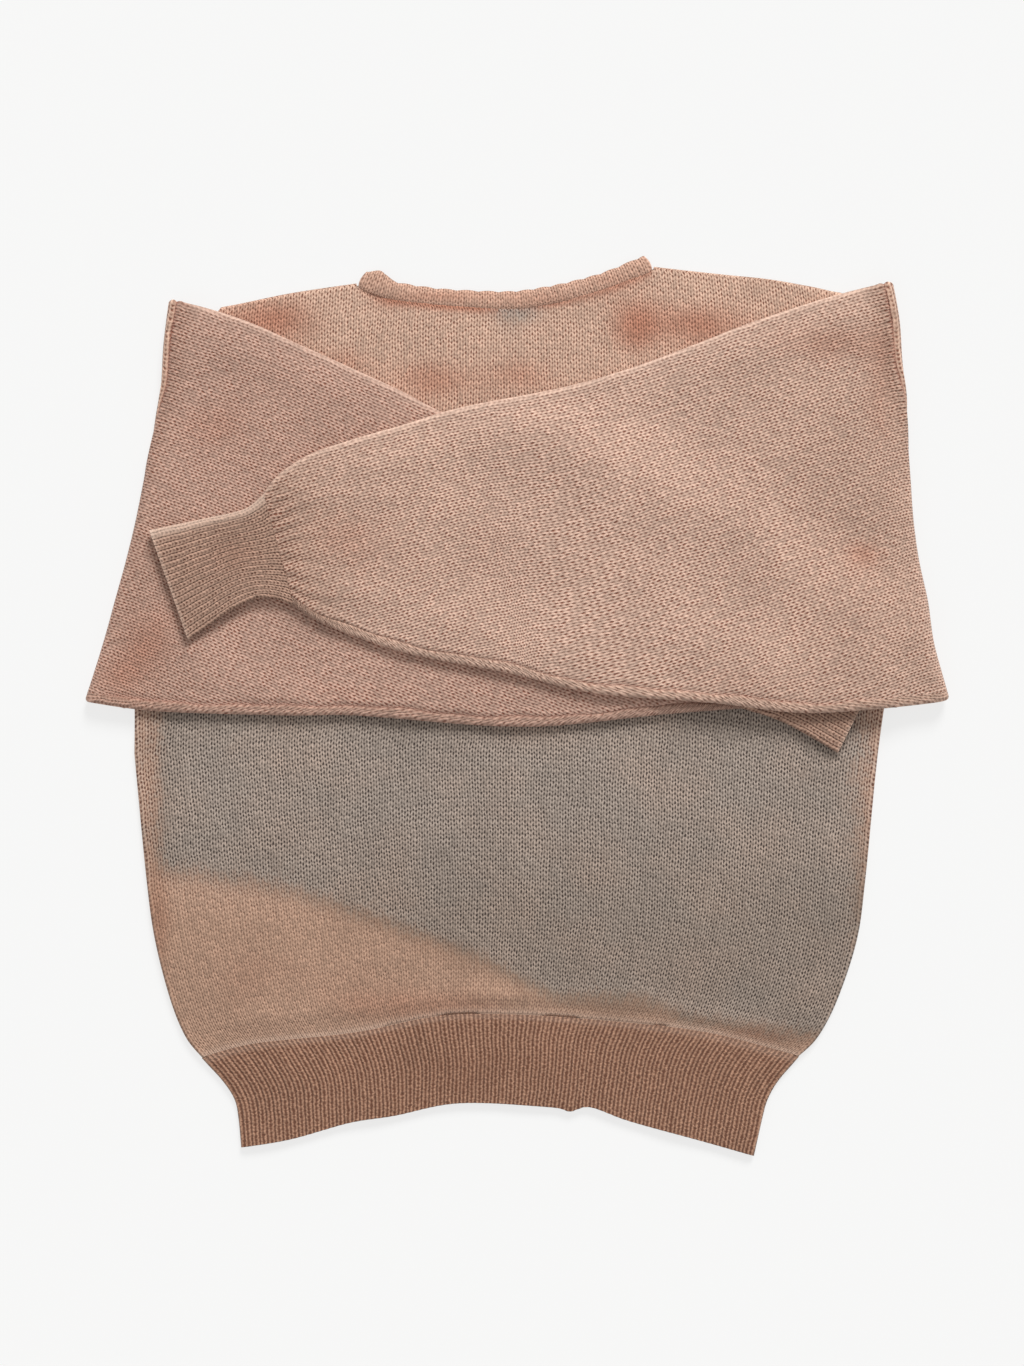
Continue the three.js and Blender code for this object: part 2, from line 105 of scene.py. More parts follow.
# How far the lowest cloth lies above the surface, and a sleeve above what is below it.
REST_GAP = 0.02
LAYER_GAP = 0.3
BACK_LIFT = 0.5
FRONT_Z = HALF
BACK_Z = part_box("back")[0].z / MM + HALF + BACK_LIFT
BODY_TOP = BACK_Z + HALF
EDGE_R = (BACK_Z - FRONT_Z) / 2
TUBE_R = 2.2
TUBE_HIGH = 2 * (TUBE_R + HALF)
ROW = 3.25
BODY_WALES = 134
SIDE_OF = {-1: "left", 1: "right"}
HEM_SEAM = [
    (-228, -253), (-190, -243), (-118, -235), (-56, -223), (0, -222), (71, -227), (138, -235), (204, -252),
]
SIDES = {
    "left": [(-228, -253), (-240, -238), (-251, -211), (-262, -168), (-268, -125), (-275, -53), (-279, -8)],
    "right": [(204, -252), (218, -238), (232, -211), (246, -168), (252, -125), (259, -53), (264, -8)],
}
SHOULDER_LEFT = [(-251, 292), (-232, 287), (-207, 290), (-163, 299), (-116, 306)]
SHOULDER_RIGHT = [(99, 318), (125, 315), (153, 312), (182, 309), (211, 304), (240, 299), (271, 305)]
BACK_NECK = [
    (-116, 304), (-94, 296), (-65, 291), (-41, 289), (-5, 288), (20, 291), (44, 296), (68, 303), (99, 316),
]
NECK_ENDS = (-116, 99)
NECK_MIDDLE = -9
NECK_HALF = 106


def curve(points, steps=24):
    """A smooth line through the points, as a function of the share of its length."""
    knots = np.array([points[0], *points, points[-1]], float)
    t = np.linspace(0, 1, steps, endpoint=False)[:, None]
    spans = [
        b + ((c - a) * t + (2 * a - 5 * b + 4 * c - d) * t**2 + (3 * b - a - 3 * c + d) * t**3) / 2
        for a, b, c, d in zip(knots, knots[1:], knots[2:], knots[3:])
    ]
    line = np.vstack([*spans, knots[-1:]])
    far = np.concatenate([[0], np.cumsum(np.linalg.norm(np.diff(line, axis=0), axis=1))])
    return lambda share: np.stack([np.interp(share, far / far[-1], axis) for axis in line.T], axis=-1)


def height_along(points):
    """The same smooth line as a height for each x, for lines that never turn back."""
    line = curve(points)(np.linspace(0, 1, 400))
    line = line[np.argsort(line[:, 0])]
    return lambda x: np.interp(x, line[:, 0], line[:, 1])


def patch(u, v, left, right, low, high):
    """The points at u across and v up of the patch between four border lines."""
    u, v = np.broadcast_arrays(np.asarray(u, float), np.asarray(v, float))
    across, up = u[..., None], v[..., None]
    between = left(v) * (1 - across) + right(v) * across + low(u) * (1 - up) + high(u) * up
    corners_low = low(0) * (1 - across) + low(1) * across
    corners_high = high(0) * (1 - across) + high(1) * across
    return between - (corners_low * (1 - up) + corners_high * up)


def smooth(x, low, high):
    """0 below low, 1 above high, and a soft step between."""
    t = np.clip((np.asarray(x, float) - low) / (high - low), 0, 1)
    return t * t * (3 - 2 * t)


def bell(x, wide):
    """1 where x is 0, and fading to both sides."""
    return np.exp(-((x / wide) ** 2))


def mixed(a, b, share):
    return a + (b - a) * share


# A fold's height is set by what lies this far in from it, and the sleeve's inner wall stands off by the lift.
FOLD_INSET = 15
FOLD_LIFT = 1.1


def sleeve_form(fold, top, bottom, seam_at, rest):
    """Where a folded sleeve's points lie. In plan, along is 0 at the fold and 1 at the cuff, and across is 0 at
    the bottom edge and 1 at the top. level is 1 on the wall that is outermost at the fold and -1 on the other.
    seam_at is how far past the fold's edge the armhole seam lies, at even steps across."""
    borders = [curve(fold), curve([bottom[-1], top[-1]]), curve(bottom), curve(top)]
    near = 0.02

    def plan(along, across):
        return patch(along, across, *borders)

    def inward(across):
        step = (plan(near, across) - plan(0, across)) / near
        reach = np.linalg.norm(step, axis=-1)
        return step / reach[..., None], reach

    def bend(across, level):
        base = rest(plan(FOLD_INSET / inward(across)[1], across))
        outer = (base + LAYER_GAP + 2 * TUBE_R + HALF - FRONT_Z) / 2
        inner = (base + LAYER_GAP + HALF + FOLD_LIFT - BACK_Z) / 2
        share = (level + 1) / 2
        radius = mixed(inner, outer, share)
        middle = mixed(BACK_Z + inner, FRONT_Z + outer, share)
        return radius, middle, outer

    def wrapped(turn, across, level):
        """Points at a turn round the fold, and where the same points would lie if the fold were opened flat."""
        radius, middle, outer = bend(across, level)
        angle = np.clip(turn, -math.pi / 2, math.pi / 2)
        inset = HALF + outer - radius * np.cos(angle) + (np.abs(turn) - np.abs(angle)) * outer
        flat = HALF + outer + (turn - math.pi / 2) * outer
        way, reach = inward(across)
        xy = plan(inset / reach, across)
        opened = plan(np.maximum(flat, 0) / reach, across) + way * np.minimum(flat, 0)[..., None]
        spot = np.concatenate([xy, (middle + radius * np.sin(angle))[..., None]], axis=-1)
        return spot, opened

    def seam_turn(across, level):
        return np.interp(across, np.linspace(0, 1, len(seam_at)), seam_at) / bend(across, level)[2]

    wide = float(np.linalg.norm(plan(0, 1) - plan(0, 0)))
    return {"plan": plan, "inward": inward, "bend": bend, "wrapped": wrapped, "seam_turn": seam_turn,
            "rest": rest, "wide": wide}


LEFT = {
    "fold": [(-312, 4), (-307, 19), (-298, 48), (-290, 77), (-282, 106), (-275, 135), (-268, 170), (-262, 200),
             (-257, 230), (-255, 262), (-251, 294)],
    "top": [(-251, 294), (-222, 287), (-192, 277), (-163, 264), (-134, 251), (-86, 229), (-53, 212), (0, 190),
            (60, 165), (110, 143), (150, 125), (180, 104), (199, 79)],
    "bottom": [(-312, 4), (-260, -3), (-168, -6), (-118, -6), (-44, -12), (-6, -14), (33, -13), (108, -5),
               (162, -1)],
    "seam_at": [-33, -25, -15, -3, 6.5, 8],
}
RIGHT = {
    "fold": [(312, 6), (308, 19), (300, 48), (296, 77), (290, 106), (286, 135), (284, 163), (282, 192),
             (281, 221), (278, 250), (276, 279), (271, 307)],
    "top": [(271, 307), (227, 296), (171, 278), (130, 262), (81, 244), (32, 230), (-41, 215), (-81, 203),
            (-122, 191), (-150, 181), (-171, 167), (-182, 153)],
    "bottom": [(312, 6), (300, 3), (251, -2), (202, -4), (141, 3), (56, 10), (-4, 24), (-76, 38), (-122, 53),
               (-145, 63), (-160, 73)],
    "seam_at": [-44, -32, -19, -5, 7.5, 9],
}
CUFF_LEFT = {
    "top": [(199, 79), (215, 68), (240, 56), (268, 41)],
    "bottom": [(162, -1), (187, -9), (207, -19), (231, -33)],
}
CUFF_RIGHT = {
    "top": [(-182, 153), (-196, 142), (-226, 135), (-264, 127)],
    "bottom": [(-160, 73), (-176, 78), (-192, 76), (-210, 66), (-236, 48)],
}
SLEEVE_PUFF = 1.3
LIFT_NEAR, LIFT_FAR = 4, 70
left_top = height_along(LEFT["top"] + CUFF_LEFT["top"][1:])
left_bottom = height_along(LEFT["bottom"] + CUFF_LEFT["bottom"][1:])


def on_back(points):
    return np.full(points.shape[:-1], BODY_TOP)


def on_left_sleeve(points):
    """Height of what is below the right sleeve: the left one, or the back beyond its edges."""
    x, y = points[..., 0], points[..., 1]
    (low_x, low_y), (high_x, high_y) = CUFF_LEFT["bottom"][-1], CUFF_LEFT["top"][-1]
    end = low_x + (high_x - low_x) * (y - low_y) / (high_y - low_y)
    inside = np.minimum(np.minimum(left_top(x) - y, y - left_bottom(x)), end - x)
    return BODY_TOP + (TUBE_HIGH + LAYER_GAP + SLEEVE_PUFF) * smooth(inside, -LIFT_FAR, -LIFT_NEAR)


forms = {"left": sleeve_form(**LEFT, rest=on_back), "right": sleeve_form(**RIGHT, rest=on_left_sleeve)}

# How finely the body's panels are drawn.
SIDE_STEPS = 90
ARM_STEPS = 96
STRIP_STEPS = 36
ROLL_STEPS = 4
BACK_STEPS = 150
# A strip beside each seam follows its roll. Two rows or columns lie close together where an edge stays crisp.
STRIP_WIDE = 30
CRISP_SHARE = 0.0012
NECK_CRISP = 0.2
NECK_EASE = 30
UNDERARM_SOFT = 9


def crowded(count):
    """Shares of a length, close together near its end."""
    return 1 - (1 - np.linspace(0, 1, count)) ** 1.7


def side_strip(way, level):
    """Points up one side of a panel, each row from inside the panel out to its seam, from the hem up."""
    form = forms[SIDE_OF[way]]
    steps = crowded(STRIP_STEPS)
    # Up to the underarm the edge rolls to the side seam.
    shares = np.concatenate([[0], np.linspace(CRISP_SHARE, 1, SIDE_STEPS - 1, endpoint=False)])
    line = curve(SIDES[SIDE_OF[way]])(shares)
    out = steps * (STRIP_WIDE + EDGE_R * math.pi / 2) - STRIP_WIDE
    turn = np.clip(out / EDGE_R, 0, math.pi / 2)
    inset = HALF + EDGE_R * (1 - np.sin(turn)) + np.maximum(-out, 0)
    rolled = np.zeros((SIDE_STEPS, STRIP_STEPS, 3))
    rolled[..., 0] = line[:, :1] - way * inset
    rolled[..., 1] = line[:, 1:]
    rolled[..., 2] = (FRONT_Z + BACK_Z) / 2 - level * EDGE_R * np.cos(turn)
    # Beside the armhole it runs under the fold and round it.
    margin = HALF + EDGE_R
    across = np.linspace(margin, form["wide"] - margin, ARM_STEPS) / form["wide"]
    end = form["seam_turn"](across, level)[:, None]
    _, _, outer = form["bend"](across, level)
    start = np.minimum(end, -math.pi / 2) - STRIP_WIDE / outer[:, None]
    spread = np.broadcast_to(across[:, None], (ARM_STEPS, STRIP_STEPS))
    beside, _ = form["wrapped"](start + (end - start) * steps, spread, np.full(spread.shape, float(level)))
    return np.vstack([rolled, beside])


def rolled_top(form, turns, level):
    """The last rows of a side strip, over the shoulder at the top of the fold."""
    rows = []
    for a in turns:
        across = np.array([1 - (HALF + EDGE_R * (1 - math.sin(a))) / form["wide"]])
        tilt = level * math.cos(a)
        end = form["seam_turn"](across, tilt)[:, None]
        start = np.minimum(end, -math.pi / 2) - STRIP_WIDE / form["bend"](across, tilt)[2][:, None]
        turn = start + (end - start) * crowded(STRIP_STEPS)
        row, _ = form["wrapped"](turn, np.broadcast_to(across, turn.shape), np.full(turn.shape, tilt))
        rows.append(row[0])
    return np.array(rows)


def panel(level, neck_points, middle_steps):
    """The back (level -1) or the front (level 1): rows of middle points that run across, from the hem up."""
    flat_z = FRONT_Z if level > 0 else BACK_Z
    turns = np.linspace(0, math.pi / 2, ROLL_STEPS + 1)[1:]
    strips = {way: side_strip(way, level) for way in (-1, 1)}
    rows = SIDE_STEPS + ARM_STEPS
    left, right = strips[-1][:, 0, :2], strips[1][:, 0, :2]
    climbed = ((left[:, 1] - left[0, 1]) / (left[-1, 1] - left[0, 1])
               + (right[:, 1] - right[0, 1]) / (right[-1, 1] - right[0, 1])) / 2
    shoulder_left, shoulder_right = height_along(SHOULDER_LEFT), height_along(SHOULDER_RIGHT)
    neck = height_along(neck_points)

    def top_edge(x):
        beside = np.where(x < 0, shoulder_left(x), shoulder_right(x))
        return np.where((x > NECK_ENDS[0]) & (x < NECK_ENDS[1]), neck(x), beside)

    # Columns crowd a little where the neck meets the shoulders.
    ends = (left[-1, 0], right[-1, 0])
    at_neck = [end + off for end in NECK_ENDS for off in (-NECK_CRISP, NECK_CRISP)]
    x_top = np.unique(np.concatenate([np.linspace(*ends, middle_steps), at_neck]))[1:-1]
    u = (x_top - ends[0]) / (ends[1] - ends[0])
    low = np.stack([mixed(left[0, 0], right[0, 0], u), mixed(left[0, 1], right[0, 1], u)], -1)
    off_neck = np.maximum(NECK_ENDS[0] - x_top, x_top - NECK_ENDS[1])
    step_down = shoulder_left(NECK_ENDS[0]) - neck(NECK_ENDS[0])
    dip = step_down * (off_neck > 0) * smooth(NECK_EASE - off_neck, 0, NECK_EASE)
    high = np.stack([x_top, top_edge(x_top) - HALF - EDGE_R - dip], -1)
    corner = [left[0], right[0], left[-1], right[-1]]
    uu, vv = u[None, :, None], climbed[:, None, None]
    inner = (left[:, None] * (1 - uu) + right[:, None] * uu + low[None] * (1 - vv) + high[None] * vv
             - (corner[0] * (1 - uu) + corner[1] * uu) * (1 - vv)
             - (corner[2] * (1 - uu) + corner[3] * uu) * vv)
    inner = np.concatenate([inner, np.full((rows, len(u), 1), flat_z)], -1)
    # Over the shoulders the last rows roll to meet the other panel. Along the neck they stay flat.
    is_neck = (x_top > NECK_ENDS[0]) & (x_top < NECK_ENDS[1])
    rolls = []
    for a in turns:
        z = np.where(is_neck, flat_z, (FRONT_Z + BACK_Z) / 2 - level * EDGE_R * math.cos(a))
        y = top_edge(x_top) - HALF - EDGE_R * (1 - math.sin(a))
        y = np.where(is_neck, top_edge(x_top) - (HALF + EDGE_R) * (1 - a / turns[-1]), y)
        rolls.append(np.stack([x_top, y, z], -1))
    inner = np.concatenate([inner, np.array(rolls)])
    tops = {way: rolled_top(forms[SIDE_OF[way]], turns, level) for way in (-1, 1)}
    edges = {way: np.concatenate([strips[way], tops[way]]) for way in (-1, 1)}
    grid = np.concatenate([edges[-1][:, ::-1], inner, edges[1]], axis=1)
    # The lower rows bend to the hem seam.
    hem = height_along(HEM_SEAM)(grid[0, :, 0]) - grid[0, :, 1]
    fade = np.clip(1 - np.arange(len(grid)) / SIDE_STEPS, 0, 1)[:, None]
    grid[..., 1] += hem * fade
    # The strip's form changes softly at the underarm.
    span = np.arange(len(grid))
    near = np.abs(span - SIDE_STEPS) < UNDERARM_SOFT
    before, after = grid[SIDE_STEPS - UNDERARM_SOFT], grid[SIDE_STEPS + UNDERARM_SOFT]
    share = smooth(span[near], SIDE_STEPS - UNDERARM_SOFT, SIDE_STEPS + UNDERARM_SOFT)[:, None, None]
    grid[near] = before + (after - before) * share
    return grid


def folds(points, lines):
    """Height of soft folds at points seen from above. Each has two ends, a half width and a height."""
    height = np.zeros(points.shape[:-1])
    for start, end, width, high in lines:
        start, run = np.array(start, float), np.subtract(end, start).astype(float)
        share = np.clip(((points - start) @ run) / (run @ run), 0, 1)
        off = np.linalg.norm(points - start - share[..., None] * run, axis=-1)
        height += high * bell(off, width)
    return height


def unrest(points, size, seed):
    """The slight unevenness of cloth that lies on cloth, as a few crossed waves."""
    random = np.random.default_rng(seed)
    height = np.zeros(points.shape[:-1])
    for _ in range(7):
        way = random.uniform(0, 2 * math.pi)
        length = size * random.uniform(0.6, 1.7)
        phase = (points[..., 0] * math.cos(way) + points[..., 1] * math.sin(way)) * 2 * math.pi / length
        height += np.sin(phase + random.uniform(0, 2 * math.pi))
    return height / 3


def spots(points, places):
    """How strongly soft oval stains show at points. Each has a centre, two half widths and a strength."""
    shown = np.zeros(points.shape[:-1])
    for x, y, wide, high, strength in places:
        shown += strength * np.exp(-(((points[..., 0] - x) / wide) ** 2 + ((points[..., 1] - y) / high) ** 2))
    return shown


def row_lengths(grid, axis):
    """Distance run along the grid to each of its points."""
    step = np.linalg.norm(np.diff(grid, axis=axis), axis=-1)
    start = np.zeros_like(np.take(step, [0], axis=axis))
    return np.concatenate([start, np.cumsum(step, axis=axis)], axis=axis)


def select_only(piece):
    bpy.ops.object.select_all(action="DESELECT")
    bpy.context.view_layer.objects.active = piece
    piece.select_set(True)


def knitted(name, grid, stitches, marks, joined, looped=False):
    """A piece on a grid of points in millimetres. Its stitches are its UV map, one unit to a wale and a row. A
    joined grid closes on itself across, and a looped one along. Its finish reads the marks at each point."""
    rows, columns = grid.shape[:2]
    i, j = np.mgrid[0:rows - (0 if looped else 1), 0:columns - (0 if joined else 1)]
    here, above = i * columns, (i + 1) % rows * columns
    right = (j + 1) % columns
    faces = np.stack([here + j, here + right, above + right, above + j], -1)
    mesh = bpy.data.meshes.new(name)
    mesh.from_pydata((grid.reshape(-1, 3) * MM).tolist(), [], faces.reshape(-1, 4).tolist())
    corners = np.stack([stitches[i, j], stitches[i, j + 1], stitches[i + 1, j + 1], stitches[i + 1, j]], -2)
    mesh.uv_layers.new(name="stitches").data.foreach_set("uv", corners.astype(np.float32).ravel())
    for key, values in marks.items():
        spread = np.broadcast_to(values, (rows, columns)).astype(np.float32)
        mesh.attributes.new(key, "FLOAT", "POINT").data.foreach_set("value", spread.ravel())
    piece = bpy.data.objects.new(name, mesh)
    bpy.context.collection.objects.link(piece)
    select_only(piece)
    return piece


def cloth(name, grid, stitches, marks, joined=False):
    """A wall of cloth whose middle is the grid."""
    piece = knitted(name, grid, stitches, marks, joined)
    wall = piece.modifiers.new("wall", "SOLIDIFY")
    wall.thickness = CLOTH * MM
    wall.offset = 0
    bpy.ops.object.modifier_apply(modifier=wall.name)
    bpy.ops.object.shade_smooth()
    # What lies on the surface is pressed flat by it.
    mesh = piece.data
    places = np.empty(3 * len(mesh.vertices))
    mesh.vertices.foreach_get("co", places)
    places[2::3] = np.maximum(places[2::3], REST_GAP * MM)
    mesh.vertices.foreach_set("co", places)
    mesh.update()
    return piece


class Value:
    """A socket of a finish that Python sums can use: each sum adds its Math node."""

    def __init__(self, finish, socket):
        self.finish = finish
        self.socket = socket

    def math(self, operation, *others, swap=False):
        terms = [self, *others]
        if swap:
            terms.reverse()
        return self.finish.add("ShaderNodeMath", {"operation": operation}, dict(enumerate(terms)))

    def __add__(self, other):
        return self.math("ADD", other)

    def __sub__(self, other):
        return self.math("SUBTRACT", other)

    def __rsub__(self, other):
        return self.math("SUBTRACT", other, swap=True)

    def __mul__(self, other):
        return self.math("MULTIPLY", other)

    def __pow__(self, other):
        return self.math("POWER", other)

    __radd__ = __add__
    __rmul__ = __mul__

    def part(self):
        return self.math("FRACT")

    def size(self):
        return self.math("ABSOLUTE")

    def wave(self):
        """A cosine of this many turns, from 0 to 1."""
        return (self * (2 * math.pi)).math("COSINE") * 0.5 + 0.5

    def step(self, low, high):
        """0 below low, 1 above high, and a soft step between."""
        inputs = {"Value": self, "From Min": low, "From Max": high}
        return self.finish.add("ShaderNodeMapRange", {"interpolation_type": "SMOOTHSTEP"}, inputs)


class Finish:
    """A material being made."""

    def __init__(self, name):
        self.material = bpy.data.materials.new(name)
        self.material.use_nodes = True
        self.tree = self.material.node_tree
        self.tree.nodes.clear()

    def add(self, kind, settings=None, inputs=None, output=0):
        """A new node, given its settings first and then the values or links of its sockets."""
        node = self.tree.nodes.new(kind)
        for key, value in (settings or {}).items():
            setattr(node, key, value)
        for key, value in (inputs or {}).items():
            if isinstance(value, Value):
                self.tree.links.new(value.socket, node.inputs[key])
            else:
                node.inputs[key].default_value = value
        return Value(self, node.outputs[output]) if node.outputs else None

    def mix(self, share, a, b, blend="MIX"):
        """A colour between a and b, or b blended onto a."""
        settings = {"data_type": "RGBA", "blend_type": blend, "clamp_factor": True}
        return self.add("ShaderNodeMix", settings, {0: share, 6: a, 7: b}, output=2)

    def mark(self, name):
        return self.add("ShaderNodeAttribute", {"attribute_name": name}, output="Fac")

    def noise(self, where, scale, detail=2.0, rough=0.5):
        inputs = {"Vector": where, "Scale": scale, "Detail": detail, "Roughness": rough}
        return self.add("ShaderNodeTexNoise", {"noise_dimensions": "3D"}, inputs)


def colour(red, green, blue):
    """A colour as the eye sees it, 0 to 255, for the shader."""
    lit = [((c / 255 + 0.055) / 1.055) ** 2.4 if c > 10 else c / 3295 for c in (red, green, blue)]
    return (*lit, 1.0)


def yarn_surface(finish, tint, shade, height, relief):
    """Brushed wool: matte, with a faint sheen of loose fibres, raised by the stitches' height. shade lightens
    and darkens the yarn. Where the cloth is marked, painted shade darkens it, its seams take the thread's
    colour, and painted highlights pale it."""
    place = finish.add("ShaderNodeTexCoord", output="Object")
    fibres = finish.noise(place, 1000, 3.0, 0.7)
    hairs = finish.noise(place, 380, 4.0, 0.7)
    clouds = finish.noise(place, 17, 3.0, 0.55)
    shade = shade * (0.50 + 0.46 * fibres + 0.26 * hairs + 0.30 * clouds)
    grey = finish.add("ShaderNodeCombineColor", None, {0: shade, 1: shade, 2: shade})
    tint = finish.mix(1.0, tint, grey, "MULTIPLY")
    # Painted shade: where the cloth is marked, its colour darkens towards a dull brown, as if in shadow.
    painted_shade_tint = finish.mix(finish.mark("painted_shade"), (1, 1, 1, 1), PAINTED_SHADE_COLOUR)
    tint = finish.mix(1.0, tint, painted_shade_tint, "MULTIPLY")
    tint = finish.mix(finish.mark("seam"), tint, SEAM_THREAD)
    # Painted highlight: where the cloth is marked, its colour pales as if catching the light.
    tint = finish.mix(finish.mark("light"), tint, PAINTED_HIGHLIGHT)
    raised = height + 0.30 * fibres + 0.30 * hairs
    bump = finish.add("ShaderNodeBump", None, {"Strength": 1.0, "Distance": relief * MM, "Height": raised})
    surface = finish.add("ShaderNodeBsdfPrincipled", None, {
        "Base Color": tint, "Roughness": 0.92, "Normal": bump, "Specular IOR Level": 0.15,
        "Sheen Weight": 0.2, "Sheen Roughness": 0.55, "Sheen Tint": (1.0, 0.9, 0.84, 1.0),
    })
    finish.add("ShaderNodeOutputMaterial", None, {"Surface": surface})
    return finish.material


def knit_coordinates(finish, wander):
    """The UV map, and the wale and row of a point, each wandering a little from its straight line."""
    uv = finish.add("ShaderNodeUVMap", {"uv_map": "stitches"})
    drift = finish.noise(uv, 0.12, 1.0)
    jitter = finish.noise(uv, 0.7, 2.0)
    wale = finish.add("ShaderNodeSeparateXYZ", None, {0: uv}) + (drift - 0.5) * (0.7 * wander)
    wale = wale + (jitter - 0.5) * (0.34 * wander)
    row = finish.add("ShaderNodeSeparateXYZ", None, {0: uv}, output=1) + (jitter - 0.5) * (0.8 * wander)
    return uv, wale, row


def chance(finish, across, along):
    """A random value for each whole number across and along."""
    cell = finish.add("ShaderNodeCombineXYZ", None, {0: across.math("ROUND"), 1: along.math("ROUND")})
    return finish.add("ShaderNodeTexWhiteNoise", {"noise_dimensions": "2D"}, {"Vector": cell})


def streaks(finish, uv, high):
    """Columns of stitches that are a little lighter or darker than their neighbours."""
    drawn_out = finish.add("ShaderNodeMapping", None, {"Vector": uv, "Scale": (0.9, 0.05, 1.0)})
    return (finish.noise(drawn_out, 1.0, 2.0, 0.6) - 0.5) * high


def plain_knit(name, yarn, gap, warm, depth, cool=None):
    """Plain knit: columns of slanted legs in an open, uneven gauge, with dark gaps between them, painted
    shade in the holes. yarn, gap and warm are the colours of the wool, of the painted shade in the gaps and
    of the rusty stains. cool is the grey field's wool and gap shade. depth is how dark the gaps are. Where
    the cloth is calm they are felted over, and where it is drawn its columns stand as ridges, with painted
    shade in the furrows between them."""
    finish = Finish(name)
    uv, wale, row = knit_coordinates(finish, 1.0)
    side = (wale.part() - 0.5).size()
    slant = row - 1.05 * side
    edges = (2 * side).wave()
    hole = edges * slant.wave()
    strand = (2 * side + 0.5).wave()
    gap_chance = chance(finish, 2 * wale, slant)
    leg_chance = chance(finish, 2 * wale + 0.5, slant + 0.5)
    tight = finish.noise(uv, 0.28, 2.0, 0.6)
    calm = finish.mark("calm")
    furrow = (side + 0.5).wave() ** 3 * finish.mark("drawn")
    shown_gap = hole * (0.42 + 0.62 * gap_chance) * (0.55 + 0.9 * tight) * (1 - 0.6 * calm)
    # dark_share is how much painted shade covers the wool: in the holes, and in the furrows where drawn.
    dark_share = shown_gap * depth + 0.5 * furrow
    height = 1 - 0.24 * edges - 0.6 * hole * (0.5 + 0.5 * gap_chance) - 0.6 * furrow
    uneven = finish.noise(uv, 0.045, 3.0, 0.6)
    stain = finish.mark("rust") + 0.6 * (uneven - 0.5)
    wool = finish.mix(stain.step(0.05, 1.0), yarn, warm)
    dark = gap
    if cool:
        patchy = finish.noise(uv, 0.09, 4.0, 0.65)
        field = (finish.mark("grey") + 0.6 * (patchy - 0.5) + 0.3 * (leg_chance - 0.5)).step(0.08, 0.9)
        shown = field * (1.0 - 0.75 * (finish.noise(uv, 0.05, 3.0, 0.6) - 0.42))
        wool = finish.mix(shown, wool, cool[0])
        dark = finish.mix(field, gap, cool[1])
    tint = finish.mix(dark_share, wool, dark)
    # Painted highlights on the legs (strand, beads); leg_chance and streaks are the yarn's uneven tone.
    beads = strand * (slant + 0.5).wave()
    shade = 0.76 + 0.14 * strand + 0.18 * beads + 0.3 * (leg_chance - 0.5) + streaks(finish, uv, 0.18)
    return yarn_surface(finish, tint, shade, height, KNIT_RELIEF)


KNIT_RELIEF = 0.65
# The dull brown that painted shade darkens the wool towards.
PAINTED_SHADE_COLOUR = (0.62, 0.575, 0.53, 1)
SEAM_THREAD = colour(150, 88, 70)
# The pale colour of painted highlights, where loose fibres on top edges catch the light.
PAINTED_HIGHLIGHT = colour(232, 204, 184)
PINK = colour(225, 188, 165)
# Painted shade in the holes between the stitches, over the pink wool.
PINK_GAP = colour(146, 92, 73)
RUST = colour(198, 134, 108)
GREY = colour(175, 160, 148)
# Painted shade in the holes between the stitches, over the grey wool.
GREY_GAP = colour(76, 64, 59)
body_knit = plain_knit("body_knit", PINK, PINK_GAP, RUST, 1.6, (GREY, GREY_GAP))

# The mended line runs down to the hem, slightly puckered, and the cloth puffs a little above the rib.
MEND = [(150, -115), (146, -150), (140, -190), (132, -226)]
BACK_FOLDS = [
    ((-240, -60), (-215, -215), 16, 1.2),
    ((236, -40), (205, -215), 16, 1.3),
    ((-60, -60), (-50, -180), 30, 0.7),
    ((70, -40), (60, -190), 26, 0.8),
    ((-150, -190), (-120, -225), 14, 0.8),
    ((-200, -225), (-60, -212), 8, 1.3),
    ((-40, -208), (90, -212), 8, 1.5),
    ((100, -216), (190, -236), 8, 1.3),
    ((-150, 284), (-60, 262), 14, 0.8),
    ((40, 262), (150, 292), 15, 0.9),
]
RUST_SPOTS = [
    (-178, 280, 38, 18, 0.75), (132, 276, 40, 18, 0.75), (-63, 236, 30, 16, 0.6), (84, 274, 20, 24, 0.6),
    (2, 240, 26, 14, 0.5), (-123, 249, 22, 12, 0.45), (-20, 291, 60, 5, 0.4), (-96, 291, 18, 10, 0.35),
    (-200, -200, 26, 30, 0.25), (-120, -190, 60, 26, 0.2), (-60, -216, 70, 14, 0.45), (170, -236, 50, 9, 0.4),
    (-262, -60, 9, 70, 0.2), (256, -90, 10, 70, 0.25), (-258, -160, 10, 50, 0.35),
]
GREY_LOWER = [(-262, -119), (-253, -121), (-192, -127), (-135, -143), (-84, -161), (-27, -183), (9, -203),
              (31, -212), (84, -212), (101, -217), (123, -228), (161, -233), (240, -242)]
NECK_SPOT = [(2, 286, 24, 9, 0.62), (-6, 274, 14, 12, 0.2)]
# Spots of painted shade on the body: along both side edges, and in a band just below the sleeves.
PAINTED_SHADE_SPOTS = [(-264, -60, 14, 90, 0.45), (254, -80, 12, 90, 0.25), (0, -14, 260, 10, 0.15)]


def grey_field(points):
    """How much of the grey wool shows: low on the body, between soft borders."""
    x, y = points[..., 0], points[..., 1]
    line = np.array(GREY_LOWER, float)
    lower = np.interp(x, line[:, 0], line[:, 1])
    up = smooth(y - lower, -17, 19)
    left = 0.42 + 0.58 * smooth(x, -266, -246)
    right = 0.32 + 0.68 * smooth(258 - 0.03 * (y + 60) - x, -6, 34)
    return up * left * right * smooth(150 - y, 0, 60)


